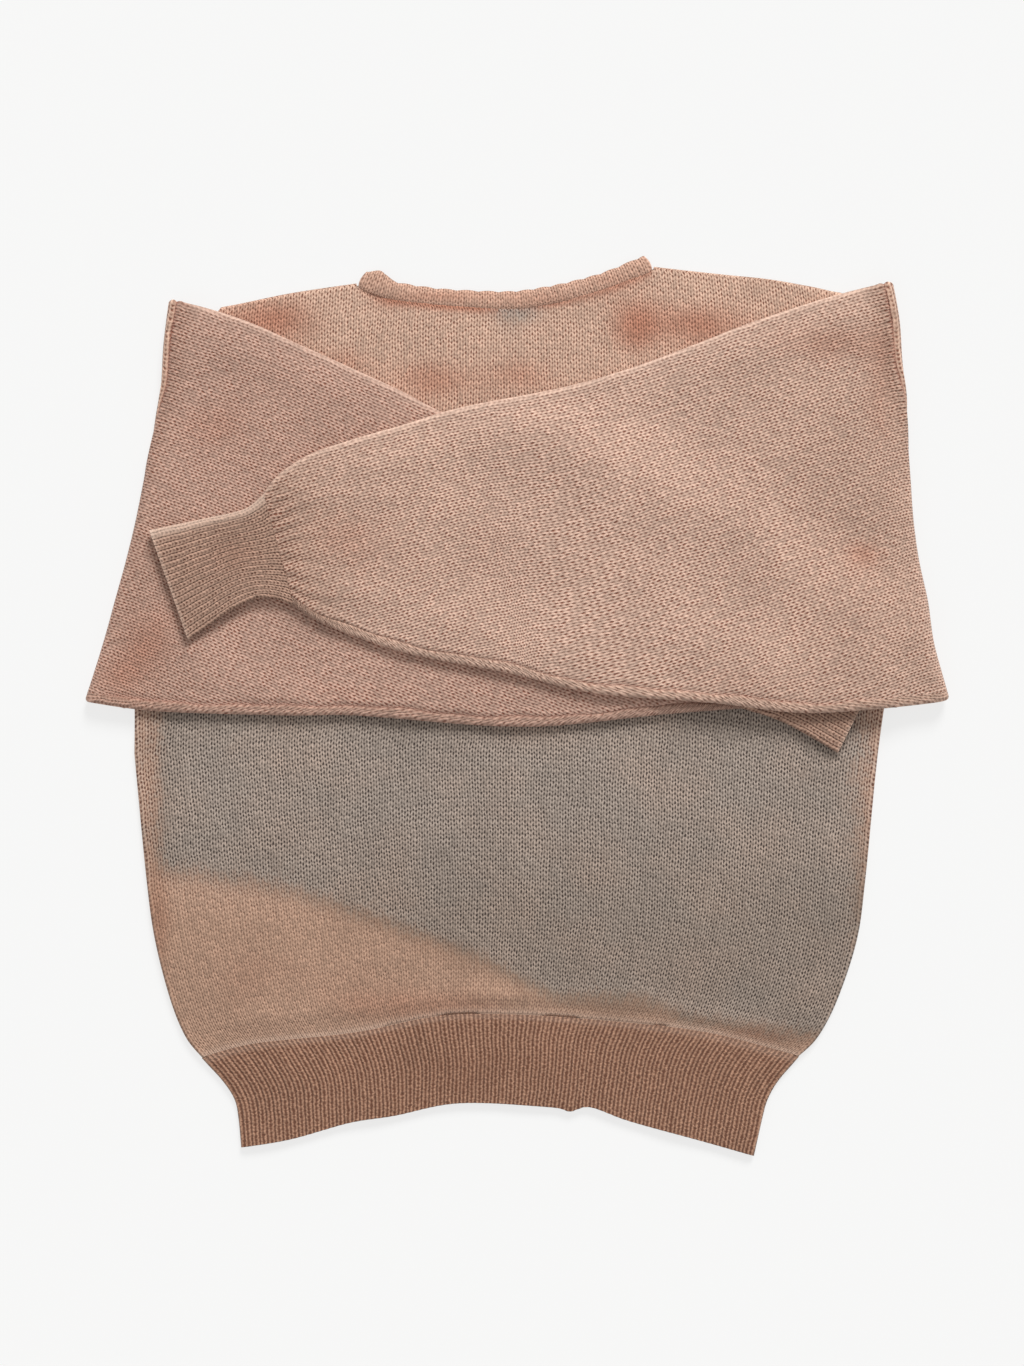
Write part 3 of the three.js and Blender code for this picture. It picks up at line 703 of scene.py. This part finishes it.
def body_marks(points, from_seam):
    """What the body's finish reads at a panel's points: its grey wool, its stains, how its stitches lie, and
    its painted shade and painted highlight.
    """
    x, y = points[..., 0], points[..., 1]
    field = grey_field(points)
    low = smooth(-60 - y, 0, 110)
    peach = smooth(1 - field, 0.1, 0.5) * low
    above_hem = y - height_along(HEM_SEAM)(x)
    off_neck = height_along(BACK_NECK)(x) - y
    # Darker red line below the neckband: partly the seam's colour, partly painted shade under the band's edge.
    at_neck = 0.55 * bell(off_neck, 5) * (np.abs(x - NECK_MIDDLE) < NECK_HALF)
    return {
        "grey": field + spots(points, NECK_SPOT),
        "rust": spots(points, RUST_SPOTS) + at_neck,
        "calm": np.clip(peach + 0.35 * smooth(y, 190, 240), 0, 1),
        # Painted shade: the peach wool darker towards the bottom, the grey field less, and the shade spots.
        "painted_shade": np.clip(0.87 * peach + 0.4 * low * field + spots(points, PAINTED_SHADE_SPOTS), 0, 1),
        "seam": (0.2 + 0.55 * (y > 0)) * bell(from_seam, 1.1),
        # Painted highlight: a pale line just above the hem seam.
        "light": 0.3 * bell(above_hem, 3.5),
        "drawn": 0.9 * smooth(14 - from_seam, 0, 11) * (y > 0) + 0.5 * smooth(9 - above_hem, 0, 9),
    }


def seam_relief(from_seam):
    """The cloth sinks into a seam and swells beside it."""
    return 0.5 * bell(from_seam - 3.0, 1.5) - 0.8 * bell(from_seam, 1.0)


def raised_along_normals(grid, height, joined=False):
    """The grid moved by a height along its own normals, up where it lies flat and runs right and up."""
    if joined:
        run = np.roll(grid, -1, axis=1) - np.roll(grid, 1, axis=1)
    else:
        run = np.gradient(grid, axis=1)
    normal = np.cross(run, np.gradient(grid, axis=0))
    normal /= np.linalg.norm(normal, axis=-1, keepdims=True) + 1e-12
    return grid + normal * height[..., None]


# The folds rise where the back lies flat, clear of the hem seam, and where no sleeve presses on it.
SLEEVES_FROM, SLEEVES_TO, SLEEVES_MIDDLE = 20, 205, 112
grid = panel(-1, BACK_NECK, BACK_STEPS)
plan_points = grid[..., :2]
y = plan_points[..., 1]
above_hem = y - height_along(HEM_SEAM)(plan_points[..., 0])
level_ground = smooth(above_hem, 1, 14) * smooth(0.3 - np.abs(grid[..., 2] - BACK_Z), 0, 0.25)
open_area = ((y < SLEEVES_FROM) | (y > SLEEVES_TO)) * smooth(np.abs(y - SLEEVES_MIDDLE), 92, 112)
raised = folds(plan_points, BACK_FOLDS) + 0.45 * unrest(plan_points, 90, 3)
across = row_lengths(grid, 1)
total = across[:, -1:]
from_seam = np.minimum(across, total - across)
mend = curve(MEND)(np.linspace(0, 1, 60))
off_mend = np.min(np.linalg.norm(plan_points[..., None, :] - mend, axis=-1), axis=-1)
raised += 1.1 * bell(off_mend, 3.2) - 0.5 * bell(off_mend - 7, 3.5)
grid[..., 2] += np.maximum(raised, -0.4) * level_ground * open_area
stitches = np.stack([across / total * BODY_WALES, row_lengths(grid, 0) / ROW], -1)
grid = raised_along_normals(grid, seam_relief(from_seam))
back = cloth("back_panel", grid, stitches, body_marks(plan_points, from_seam))
back.data.materials.append(body_knit)
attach(back, "root")
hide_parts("back")


# ---- The front. The same knit with a deeper neck. It lies on the surface, and beside the shoulders it runs
# round the folds to the armhole seams, where a strip of it shows from above.
FRONT_NECK = [
    (-116, 304), (-110, 272), (-88, 243), (-48, 224), (-8, 218), (32, 224), (72, 245), (93, 277), (99, 316),
]
FRONT_STEPS = 80
grid = panel(1, FRONT_NECK, FRONT_STEPS)
across = row_lengths(grid, 1)
total = across[:, -1:]
from_seam = np.minimum(across, total - across)
stitches = np.stack([across / total * BODY_WALES, row_lengths(grid, 0) / ROW], -1)
marks = body_marks(grid[..., :2], from_seam)
grid = raised_along_normals(grid, -seam_relief(from_seam))
front = cloth("front_panel", grid, stitches, marks)
front.data.materials.append(body_knit)
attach(front, "root")
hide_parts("front")


# ---- The sleeves. Each is a wide tube of plain knit with one seam along the underarm, which shows just above
# the lower edge. The columns of stitches follow the upper edge and end at the seam. Both turn over the folds.
FOLD_RINGS = 44
FLAT_RINGS = 165
UPPER_STEPS = 92
LOWER_STEPS = 26
TURN_STEPS = 8
STRIP_COLUMNS = 5
UNDERARM_SEAM = 7
SLEEVE_WALE = 4.15
SLEEVE_ROW = 3.6
# The sleeve has settled onto what lies below it this far past the fold, and its last ring makes a crisp end.
SETTLED = 30
LAST_RING = 0.9985


def tube_section(width, bend, wander=0.0):
    """A flattened tube's section from the underarm seam up its upper wall and round, as across and level. width
    and bend have one value for each ring, and the seam wanders from its line."""
    width, bend = np.asarray(width)[:, None], np.asarray(bend)[:, None]
    margin = HALF + bend
    seam = UNDERARM_SEAM + wander + 0 * margin
    upper = mixed(seam, width - margin, np.linspace(0, 1, UPPER_STEPS, endpoint=False))
    lower = mixed(width - margin, margin, np.linspace(0, 1, LOWER_STEPS, endpoint=False))
    strip = mixed(margin, seam, np.linspace(0, 1, STRIP_COLUMNS, endpoint=False))
    a = np.linspace(0, math.pi, TURN_STEPS, endpoint=False)
    top = width - margin + bend * np.sin(a)
    low = margin - bend * np.sin(a)
    distance = np.concatenate([upper, top, lower, low, strip], axis=1)
    walls = [np.ones(UPPER_STEPS), np.cos(a), -np.ones(LOWER_STEPS), -np.cos(a), np.ones(STRIP_COLUMNS)]
    return distance / width, np.tile(np.concatenate(walls), (len(width), 1))


def wale_place(points, guide):
    """Distance along and below the guide line that the columns of stitches follow."""
    line = curve(guide)(np.linspace(0, 1, 500))
    way = np.gradient(line, axis=0)
    way /= np.linalg.norm(way, axis=1)[:, None]
    far = np.concatenate([[0], np.cumsum(np.linalg.norm(np.diff(line, axis=0), axis=1))])
    flat = points.reshape(-1, 2)
    nearest = np.concatenate([
        np.argmin(((chunk[:, None] - line[None]) ** 2).sum(-1), axis=1) for chunk in np.array_split(flat, 24)
    ])
    off = flat - line[nearest]
    along = far[nearest] + (off * way[nearest]).sum(-1)
    below = off[:, 0] * way[nearest, 1] - off[:, 1] * way[nearest, 0]
    return along.reshape(points.shape[:-1]), np.abs(below).reshape(points.shape[:-1])


def sleeve_grid(form, relief):
    """Points of a sleeve from its armhole seam, round the fold and along to the cuff, the same opened flat, how
    far each lies from the armhole seam, and its share of the way to the cuff."""
    past = math.pi / 2 + 1
    share = np.linspace(0, 1, FOLD_RINGS) ** 1.6
    across, level = tube_section(np.full(FOLD_RINGS, form["wide"]), mixed(EDGE_R, TUBE_R, share))
    start = form["seam_turn"](across, level)
    turn = start + (past - start) * share[:, None]
    round_fold, opened = form["wrapped"](turn, across, level)
    off_seam = (turn - start) * form["bend"](across, level)[2]
    share = np.append(np.linspace(0, LAST_RING, FLAT_RINGS)[1:], 1)
    ring_wide = np.linalg.norm(form["plan"](share, 1) - form["plan"](share, 0), axis=-1)
    ring = np.arange(len(share))
    wander = (0.8 * np.sin(ring / 5.3) + 0.6 * np.sin(ring / 2.3)) * smooth(ring, 0, 12)
    across, level = tube_section(ring_wide, np.full(len(share), TUBE_R), wander[:, None])
    radius, middle, outer = form["bend"](across, level)
    _, reach = form["inward"](across)
    begin = (HALF + 2 * outer) / reach
    along = begin + (1 - begin) * share[:, None]
    xy = form["plan"](along, across)
    rest = form["rest"](xy) + LAYER_GAP + TUBE_HIGH / 2 + level * TUBE_R
    from_fold = (along - begin) * reach
    settled = smooth(from_fold, 0, SETTLED)
    z = mixed(middle + radius, rest, settled)
    from_edge = np.minimum(across, 1 - across) * ring_wide[:, None]
    upper = np.clip(level, 0, 1)
    puff = SLEEVE_PUFF * smooth(from_edge, 3, 26) * smooth((1 - along) * reach, 0, 40) * settled
    z = z + upper * (puff + relief(xy, along, across, from_edge) * smooth(from_fold, 4, SETTLED))
    flat = np.concatenate([xy, z[..., None]], -1)
    off_seam = np.concatenate([off_seam, off_seam[-1:] + from_fold])
    along = np.concatenate([np.zeros(round_fold.shape[:2]), along])
    return np.concatenate([round_fold, flat]), np.concatenate([opened, xy]), off_seam, along


def sleeve(name, side, guide, relief, stains, shades, seam_shows, finish):
    """A whole sleeve. Its columns of stitches follow the guide line. seam_shows are the distances from the
    armhole between which the underarm seam comes into view. stains are rusty, and shades are spots of
    painted shade."""
    grid, opened, off_seam, along = sleeve_grid(forms[side], relief)
    outward = 1 if side == "right" else -1
    columns = grid.shape[1]
    number = np.arange(columns)[None]
    # Stitches: the upper wall counts down from the top edge, and the lower wall is its mirror image. Below the
    # underarm seam the cloth comes up from the lower wall, so it counts on past the bottom edge.
    top_fold = UPPER_STEPS + TURN_STEPS // 2
    low_fold = columns - STRIP_COLUMNS - TURN_STEPS // 2
    opened = np.concatenate([opened, opened[:, :1]], axis=1)
    opened[:, low_fold:] = 2 * opened[:, low_fold:low_fold + 1] - opened[:, low_fold:]
    gone, below = wale_place(opened, guide)
    below[:, top_fold + 1:] = 2 * below[:, top_fold:top_fold + 1] - below[:, top_fold + 1:]
    stitches = np.stack([below / SLEEVE_WALE, gone / SLEEVE_ROW], -1)
    # The underarm seam lies in a groove between two swellings, and the armhole seam sinks in.
    from_underarm = np.minimum(number, columns - number)
    groove = 0.45 * bell(from_underarm - 1.7, 0.9) - 0.8 * bell(from_underarm, 0.7)
    shows = smooth(off_seam, *seam_shows)
    height = groove * shows + seam_relief(off_seam)
    grid = raised_along_normals(grid, outward * height, joined=True)
    on_fold = bell(number - UPPER_STEPS - TURN_STEPS / 4, 2.2)
    below_seam = (number >= low_fold) * bell(from_underarm, 9)
    # Painted shade: on the bottom edge by the underarm seam, round the armhole fold, and towards the cuff.
    shade = 0.42 * bell(from_underarm, 5) * (from_underarm > 0) * (number > UPPER_STEPS)
    shade = shade + 0.3 * smooth(22 - off_seam, 0, 22) + 0.4 * smooth(along, 0.84, 1.0)
    marks = {
        "rust": spots(grid[..., :2], stains),
        "calm": np.clip(0.2 * smooth(off_seam, 30, 5) + 0.8 * on_fold + 0.8 * below_seam, 0, 1),
        # Painted highlight along the sleeve's top edge, clear of the armhole.
        "light": 0.26 * on_fold * smooth(off_seam, 4, 20),
        "painted_shade": np.clip(shade + spots(grid[..., :2], shades), 0, 1),
        "seam": np.maximum(0.7 * bell(off_seam, 1.3), 0.35 * bell(from_underarm, 0.8) * shows),
        "drawn": np.maximum(0.6 * smooth(16 - off_seam, 0, 12), 0.8 * smooth(along, 0.93, 0.995)),
    }
    piece = cloth(name, grid, stitches, marks, joined=True)
    piece.data.materials.append(finish)
    return piece


SLEEVE_PINK = colour(222, 187, 167)
# The lower sleeve has the same yarn, darker: painted shade on the sleeve that lies underneath.
LEFT_PINK = colour(206, 169, 151)
right_knit = plain_knit("right_sleeve_knit", SLEEVE_PINK, PINK_GAP, RUST, 1.35)
left_knit = plain_knit("left_sleeve_knit", LEFT_PINK, PINK_GAP, RUST, 1.35)

GATHERS = 9
LEFT_GUIDE = [(-268, 303), (-222, 287), (-163, 264), (-86, 229), (0, 190), (110, 143), (190, 110), (230, 92)]
RIGHT_GUIDE = [(290, 312), (227, 296), (130, 262), (32, 230), (-41, 215), (-122, 193), (-190, 172), (-230, 158)]
LEFT_FOLDS = [
    ((-285, 60), (-180, 10), 14, 0.9), ((-230, 270), (-120, 225), 12, 0.7),
    ((-250, 120), (-200, 60), 16, -0.7), ((-160, 8), (-20, -2), 9, 0.8),
]
RIGHT_FOLDS = [
    ((285, 40), (120, 40), 18, 0.9), ((262, 290), (120, 240), 12, 0.9), ((240, 120), (60, 120), 22, -0.8),
    ((30, 200), (-110, 170), 14, 0.8), ((-40, 60), (-130, 84), 10, 0.9), ((60, 70), (-60, 110), 16, -0.6),
    ((-150, 150), (-90, 150), 8, 0.8), ((-140, 110), (-80, 120), 8, 0.7), ((-135, 85), (-90, 80), 7, 0.7),
]


def gathers(along, across):
    """Where the sleeve is drawn in to the cuff, it stands in small ridges that run out into the sleeve."""
    return 0.55 * np.cos(2 * math.pi * GATHERS * across + 1.5 * np.sin(9 * across)) * smooth(along, 0.88, 0.99)


def sleeve_relief(lines, high, size, seed):
    """The height of one sleeve's folds, unevenness and gathers, for points of its upper wall."""

    def relief(xy, along, across, from_edge):
        rough = folds(xy, lines) + high * unrest(xy, size, seed)
        return smooth(from_edge, 3, 14) * (rough + gathers(along, across))

    return relief


LEFT_STAINS = [(-266, 42, 22, 30, 0.5), (-214, 200, 30, 24, 0.35), (-150, 160, 40, 26, 0.25),
               (-120, 10, 60, 12, 0.3), (-290, 20, 20, 16, 0.35)]
RIGHT_STAINS = [(250, 110, 16, 13, 0.5), (262, 235, 14, 50, 0.35), (225, 262, 40, 16, 0.4),
                (-30, 110, 60, 34, 0.15), (-120, 120, 34, 22, 0.25), (150, 20, 70, 12, 0.25)]

# Spots of painted shade on each sleeve.
LEFT_SHADES = [(-272, 70, 34, 90, 0.28), (-190, 220, 50, 40, 0.1)]
RIGHT_SHADES = [(255, 130, 70, 150, 0.2), (-130, 130, 70, 60, 0.17)]
LEFT_SEAM_SHOWS = (38, 60)
RIGHT_SEAM_SHOWS = (60, 170)

left_relief = sleeve_relief(LEFT_FOLDS, 0.4, 80, 11)
sleeve_left = sleeve("left_sleeve", "left", LEFT_GUIDE, left_relief, LEFT_STAINS, LEFT_SHADES,
                     LEFT_SEAM_SHOWS, left_knit)
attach(sleeve_left, "root")
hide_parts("sleeve_left")
right_relief = sleeve_relief(RIGHT_FOLDS, 0.6, 90, 12)
sleeve_right = sleeve("right_sleeve", "right", RIGHT_GUIDE, right_relief, RIGHT_STAINS, RIGHT_SHADES,
                      RIGHT_SEAM_SHOWS, right_knit)
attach(sleeve_right, "root")
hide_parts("sleeve_right")


# ---- The ribs. Hem and cuffs are one-by-one rib: raised columns of plain stitches with sunk ones between them.
# The hem is knitted on at the body's lower edge, and each cuff at the end of its sleeve, drawn in. They lap
# what they are knitted on to, so that no gap shows. On the softer cuffs only furrows show between the ribs.
HEM_EDGE = [(-199, -318), (-163, -312), (-120, -300), (-88, -295), (-41, -286), (24, -289), (38, -292),
            (53, -289), (81, -299), (125, -311), (171, -324)]
RIB_LEFT = [(-228, -253), (-213, -269), (-204, -283), (-201, -297), (-199, -318)]
RIB_RIGHT = [(204, -252), (189, -269), (181, -283), (177, -297), (171, -324)]
HEM_RIBS = 67
HEM_ROWS = 26
HEM_ROW = 2.9
RIB_POINTS = 8
RIB_LAP = 0.4
RIB_RELIEF = 0.55


def ribbing(name, yarn, groove, warm, fine):
    """One-by-one rib. Each rib shows the two legs of its plain stitches as crooked light lines, with rough dark
    purl stitches sunk between them, their darkness painted shade. One unit to a rib. fine is how thin the
    light lines are."""
    finish = Finish(name)
    uv, rib, row = knit_coordinates(finish, 0.5)
    side = ((rib + 0.5).part() - 0.5).size()
    crooked = finish.noise(uv, 0.9, 3.0, 0.75)
    row = row + 1.6 * finish.noise(uv, 0.45, 2.0, 0.6)
    lean = row.wave()
    away = side - 0.235 + 0.34 * (crooked - 0.5) + 0.06 * (lean - 0.5)
    line = (2 * away).wave() ** fine
    stitch_chance = finish.noise(uv, 2.3, 2.0, 0.6)
    thread = line * (0.68 + 0.14 * (row + 0.25).wave() + 1.3 * (stitch_chance - 0.5))
    purl = (2 * side).wave() * (row + 0.5).wave()
    height = 0.85 * line + 0.14 * lean * line + 0.07 * purl
    uneven = finish.noise(uv, 0.08, 3.0, 0.6)
    wool = finish.mix((finish.mark("rust") + 0.7 * (uneven - 0.5)).step(0.05, 1.0), yarn, warm)
    tint = finish.mix(thread * 1.15, groove, wool)
    shade = 0.92 + 0.06 * purl + 0.5 * (stitch_chance - 0.5) + streaks(finish, uv, 0.2)
    return yarn_surface(finish, tint, shade, height, RIB_RELIEF)


def end_rows(count):
    """Even shares of a length, with one more close to each end so that the edge stays crisp."""
    return np.concatenate([[0], np.linspace(0.005, 0.995, count - 2), [1]])


def hem_grid(level):
    """Middle points of one half of the hem, from the body down, and the places of its stitches."""
    flat_z = FRONT_Z if level > 0 else BACK_Z
    count = HEM_RIBS * RIB_POINTS
    u = np.linspace(0, 1, count + 1)[None]
    v = end_rows(HEM_ROWS)[:, None]
    sides = [curve(RIB_LEFT), curve(RIB_RIGHT)]
    seam_height, low = height_along(HEM_SEAM), height_along(HEM_EDGE)

    def seam(x):
        return seam_height(x) + RIB_LAP

    def line(ends, height):
        def at(share):
            x = mixed(ends[0][0], ends[1][0], np.asarray(share, float))
            return np.stack([x, height(x)], -1)
        return at

    top = line((RIB_LEFT[0], RIB_RIGHT[0]), seam)
    bottom = line((RIB_LEFT[-1], RIB_RIGHT[-1]), low)
    xy = patch(u, v, sides[0], sides[1], top, bottom)
    # Near the sides the points bunch round the rolled edge.
    wide = xy[:, -1, 0] - xy[:, 0, 0]
    from_side = np.minimum(u, 1 - u) * wide[:, None]
    arc = EDGE_R * math.pi / 2
    turn = np.clip(1 - from_side / arc, 0, 1) * math.pi / 2
    rolled = np.where(from_side < arc, EDGE_R * (1 - np.sin(turn)), EDGE_R + from_side - arc)
    inset = HALF + rolled - from_side
    xy = xy.copy()
    xy[..., 0] += np.where(u < 0.5, inset, -inset) * smooth(60 - from_side, 0, 50)
    z = (FRONT_Z + BACK_Z) / 2 - level * EDGE_R * np.cos(turn)
    z = np.where(turn > 0, z, flat_z)
    grid = np.concatenate([xy, z[..., None]], -1)
    stitches = np.stack(np.broadcast_arrays(u * HEM_RIBS, row_lengths(grid, 0) / HEM_ROW), -1)
    return grid, stitches


HEM_PINK = colour(189, 146, 120)
# Painted shade in the sunk purl columns between the hem's ribs.
HEM_GROOVE = colour(104, 67, 51)
HEM_RUST = colour(160, 115, 90)
HEM_STAINS = [(-40, -260, 90, 20, 0.3)]
hem_rib = ribbing("hem_rib", HEM_PINK, HEM_GROOVE, HEM_RUST, 0.95)
for half, level, below in (("back", -1, ["hem_front"]), ("front", 1, ["floor"])):
    grid, stitches = hem_grid(level)
    share = end_rows(HEM_ROWS)[:, None]
    if half == "back":
        ribs = 0.26 * np.cos(2 * math.pi * stitches[..., 0]) * smooth(share, 0, 0.12)
        swell = 0.54 * unrest(grid[..., :2], 70, 21) * smooth(np.abs(grid[..., 0] + 12), 205, 180)
        grid[..., 2] += np.maximum(swell, -0.3) * smooth(share, 0, 0.2)
        grid = raised_along_normals(grid[::-1], ribs[::-1])[::-1]
    # A faint painted highlight along the rib's first rows.
    marks = {"rust": spots(grid[..., :2], HEM_STAINS), "light": 0.15 * bell(share - 0.03, 0.035)}
    piece = cloth(f"hem_rib_{half}", grid, stitches, marks)
    piece.data.materials.append(hem_rib)
    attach(piece, "root")
    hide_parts(f"hem_{half}")

CUFF_RIBS = 37
CUFF_RINGS = 34
CUFF_ROW = 2.7


def cuff_grid(outline, form):
    """Middle points of a cuff, from its sleeve to the wrist, round from the bottom edge, and its stitches."""
    share = end_rows(CUFF_RINGS)
    low, high = curve(outline["bottom"])(share), curve(outline["top"])(share)
    wide = np.linalg.norm(high - low, axis=-1)[:, None]
    count = CUFF_RIBS * RIB_POINTS
    flat = wide - 2 * (HALF + TUBE_R)
    arc = math.pi * TUBE_R
    girth = 2 * flat + 2 * arc
    s = np.linspace(0, 1, count, endpoint=False)[None] * girth
    margin = HALF + TUBE_R
    # Up the upper wall, over the top edge, back down the lower wall, and round the bottom edge.
    before = [s < flat, s < flat + arc, s < 2 * flat + arc]
    over = (s - flat) / TUBE_R
    under = (s - 2 * flat - arc) / TUBE_R
    walls = [margin + s, wide - margin + TUBE_R * np.sin(over), wide - margin - (s - flat - arc)]
    distance = np.select(before, walls, margin - TUBE_R * np.sin(under))
    level = np.select(before, [1.0, np.cos(over), -1.0], -np.cos(under))
    xy = low[:, None] + (high - low)[:, None] * (distance / wide)[..., None]
    z = form["rest"](xy) + LAYER_GAP + TUBE_HIGH / 2 + level * TUBE_R
    grid = np.concatenate([xy, z[..., None]], -1)
    back_on_sleeve = grid[0] - grid[1]
    grid[0] += RIB_LAP * back_on_sleeve / np.linalg.norm(back_on_sleeve, axis=-1, keepdims=True)
    ribs = np.linspace(0, CUFF_RIBS, count + 1)[None] + 0 * share[:, None]
    rows = row_lengths(grid, 0) / CUFF_ROW
    rows = np.concatenate([rows, rows[:, :1]], axis=1)
    return grid, np.stack([ribs, rows], -1)


CUFF_PINK = colour(188, 153, 133)
# Painted shade in the holes between the cuff's stitches.
CUFF_GROOVE = colour(108, 70, 55)
CUFF_STAINS = [(-200, 110, 30, 16, 0.3)]
cuff_rib = plain_knit("cuff_rib", CUFF_PINK, CUFF_GROOVE, RUST, 1.3)
for side, outline, below in (("left", CUFF_LEFT, ["back"]), ("right", CUFF_RIGHT, ["back", "sleeve_left"])):
    grid, stitches = cuff_grid(outline, forms[side])
    share = end_rows(CUFF_RINGS)[:, None]
    height = 0.24 * np.cos(2 * math.pi * stitches[:, :-1, 0]) * (0.3 + 0.7 * smooth(share, 0, 0.25))
    on_top = stitches[:, :-1, 0] / CUFF_RIBS
    # Painted highlight along the cuff's top edge and at its wrist end.
    pale = 0.5 * bell(on_top - 0.465, 0.03) + 0.3 * smooth(share, 0.97, 1)
    grid = raised_along_normals(grid, height if side == "left" else -height, joined=True)
    marks = {"rust": spots(grid[..., :2], CUFF_STAINS), "light": pale, "drawn": 0.55}
    piece = cloth(f"{side}_cuff", grid, stitches, marks, joined=True)
    piece.data.materials.append(cuff_rib)
    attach(piece, "root")
    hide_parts(f"cuff_{side}")


# ---- The neckband. One strip of plain knit, folded double and sewn down all round the neck, its stitches
# standing across it. The sewing draws its outer edge into small scallops. It turns under at each shoulder.
BAND_WIDE = 13
BAND_THICK = 3.5
BAND_TURN_IN = 3.5
BAND_POINTS = 14
BAND_LAP = -1.2
BAND_WALE = 3.85
BAND_ROWS = 12
# The strip's end meets its start a quarter of a wale further on.
BAND_CLOSING = 0.25
SCALLOP = 14
LUMP_AT = -103
BAND_STAINS = [(-60, 296, 40, 5, 0.5), (20, 294, 30, 5, 0.3), (70, 308, 20, 6, 0.35)]


def neckband_path():
    """Points on the band's seam all round the neck, the way across the band at each, and the way its upper face
    looks."""

    def run(points, count, z, face, backwards):
        at = curve(points)(np.linspace(0, 1, count))
        step = np.gradient(at, axis=0)
        out = np.stack([-step[:, 1], step[:, 0]], -1)
        out /= np.linalg.norm(out, axis=1)[:, None]
        keep = (at[:, 0] > NECK_ENDS[0] + BAND_TURN_IN) & (at[:, 0] < NECK_ENDS[1] - BAND_TURN_IN)
        at, out = at[keep], out[keep]
        if backwards:
            at, out = at[::-1], out[::-1]
        level = np.zeros(len(at))
        up = np.column_stack([level, level, level + face])
        return np.column_stack([at, level + z]), np.column_stack([out, level]), up

    def turn(start, out, way):
        a = np.linspace(0, math.pi, 9)[1:-1]
        face = np.stack([way * out[1] * np.sin(a), -way * out[0] * np.sin(a), np.cos(a)], -1)
        middle = np.array([start[0], start[1], (BACK_Z + FRONT_Z) / 2])
        return middle + face * EDGE_R, np.tile(out, (len(a), 1)), face

    over = run(BACK_NECK, 330, BACK_Z, 1.0, False)
    under = run(FRONT_NECK, 150, FRONT_Z, -1.0, True)
    right_turn = turn(over[0][-1], over[1][-1], 1)
    left_turn = [part[::-1] for part in turn(over[0][0], over[1][0], -1)]
    return [np.vstack(parts) for parts in zip(over, right_turn, under, left_turn)]


seam_line, way_out, way_up = neckband_path()
# The way across turns gently where the band goes under.
for _ in range(12):
    way_out = (np.roll(way_out, 1, axis=0) + 2 * way_out + np.roll(way_out, -1, axis=0)) / 4
way_out /= np.linalg.norm(way_out, axis=1)[:, None]
run_length = np.concatenate([[0], np.cumsum(np.linalg.norm(np.diff(seam_line, axis=0), axis=1))])
scallop = 0.9 * np.abs(np.sin(math.pi * run_length / SCALLOP + 0.6 * np.sin(run_length / 23.0))) - 0.4
a = np.linspace(0, 2 * math.pi, BAND_POINTS, endpoint=False)
wide_share = 0.5 - 0.5 * np.cos(a)
thick_share = np.sin(a) * (0.5 + 0.5 * np.abs(np.sin(a)))
# The shoulder end on the left stands up in a round lump, and both ends are rounded off.
lump = bell(seam_line[:, 0] - LUMP_AT, 7.5) * (way_up[:, 2] > -0.2)
rounded = 1 - np.abs(way_up[:, 2])
shoulder_ends = (4.5 * lump - 2.5 * rounded)[:, None]
band_wide = BAND_WIDE + scallop[:, None] * smooth(wide_share, 0.4, 1.0)[None] + shoulder_ends
band_half = BAND_THICK / 2 + 0.35 * (scallop[:, None] - 0.1) * smooth(wide_share, 0.3, 0.9)[None]
lift = (0.5 + 0.9 * lump[:, None]) * np.clip(way_up[:, 2:], 0, 1)
band = (seam_line[:, None] + way_out[:, None] * (BAND_LAP + wide_share[None] * band_wide)[..., None]
        + way_up[:, None] * (thick_share[None] * band_half + lift)[..., None])
wales = run_length / BAND_WALE
ridge = 0.22 * np.cos(2 * math.pi * wales)[:, None] * np.clip(np.sin(a), 0, 1)[None]
band += way_up[:, None] * ridge[..., None]
band[..., 2] = np.maximum(band[..., 2], REST_GAP)

# Its grid closes both ways, so the stitches count on past the last point of each.
wales = np.append(wales, wales[-1] + BAND_CLOSING)
rows = np.append(a / (2 * math.pi) * BAND_ROWS, BAND_ROWS)
stitches = np.stack(np.broadcast_arrays(wales[:, None], rows[None]), -1)
marks = {"rust": spots(band[..., :2], BAND_STAINS)}
neckband = knitted("neckband_strip", band, stitches, marks, joined=True, looped=True)
bpy.ops.object.mode_set(mode="EDIT")
bpy.ops.mesh.select_all(action="SELECT")
bpy.ops.mesh.normals_make_consistent(inside=False)
bpy.ops.object.mode_set(mode="OBJECT")
bpy.ops.object.shade_smooth()
BAND_PINK = colour(219, 177, 154)
band_knit = plain_knit("band_knit", BAND_PINK, PINK_GAP, RUST, 0.9)
neckband.data.materials.append(band_knit)
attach(neckband, "root")
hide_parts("neckband")
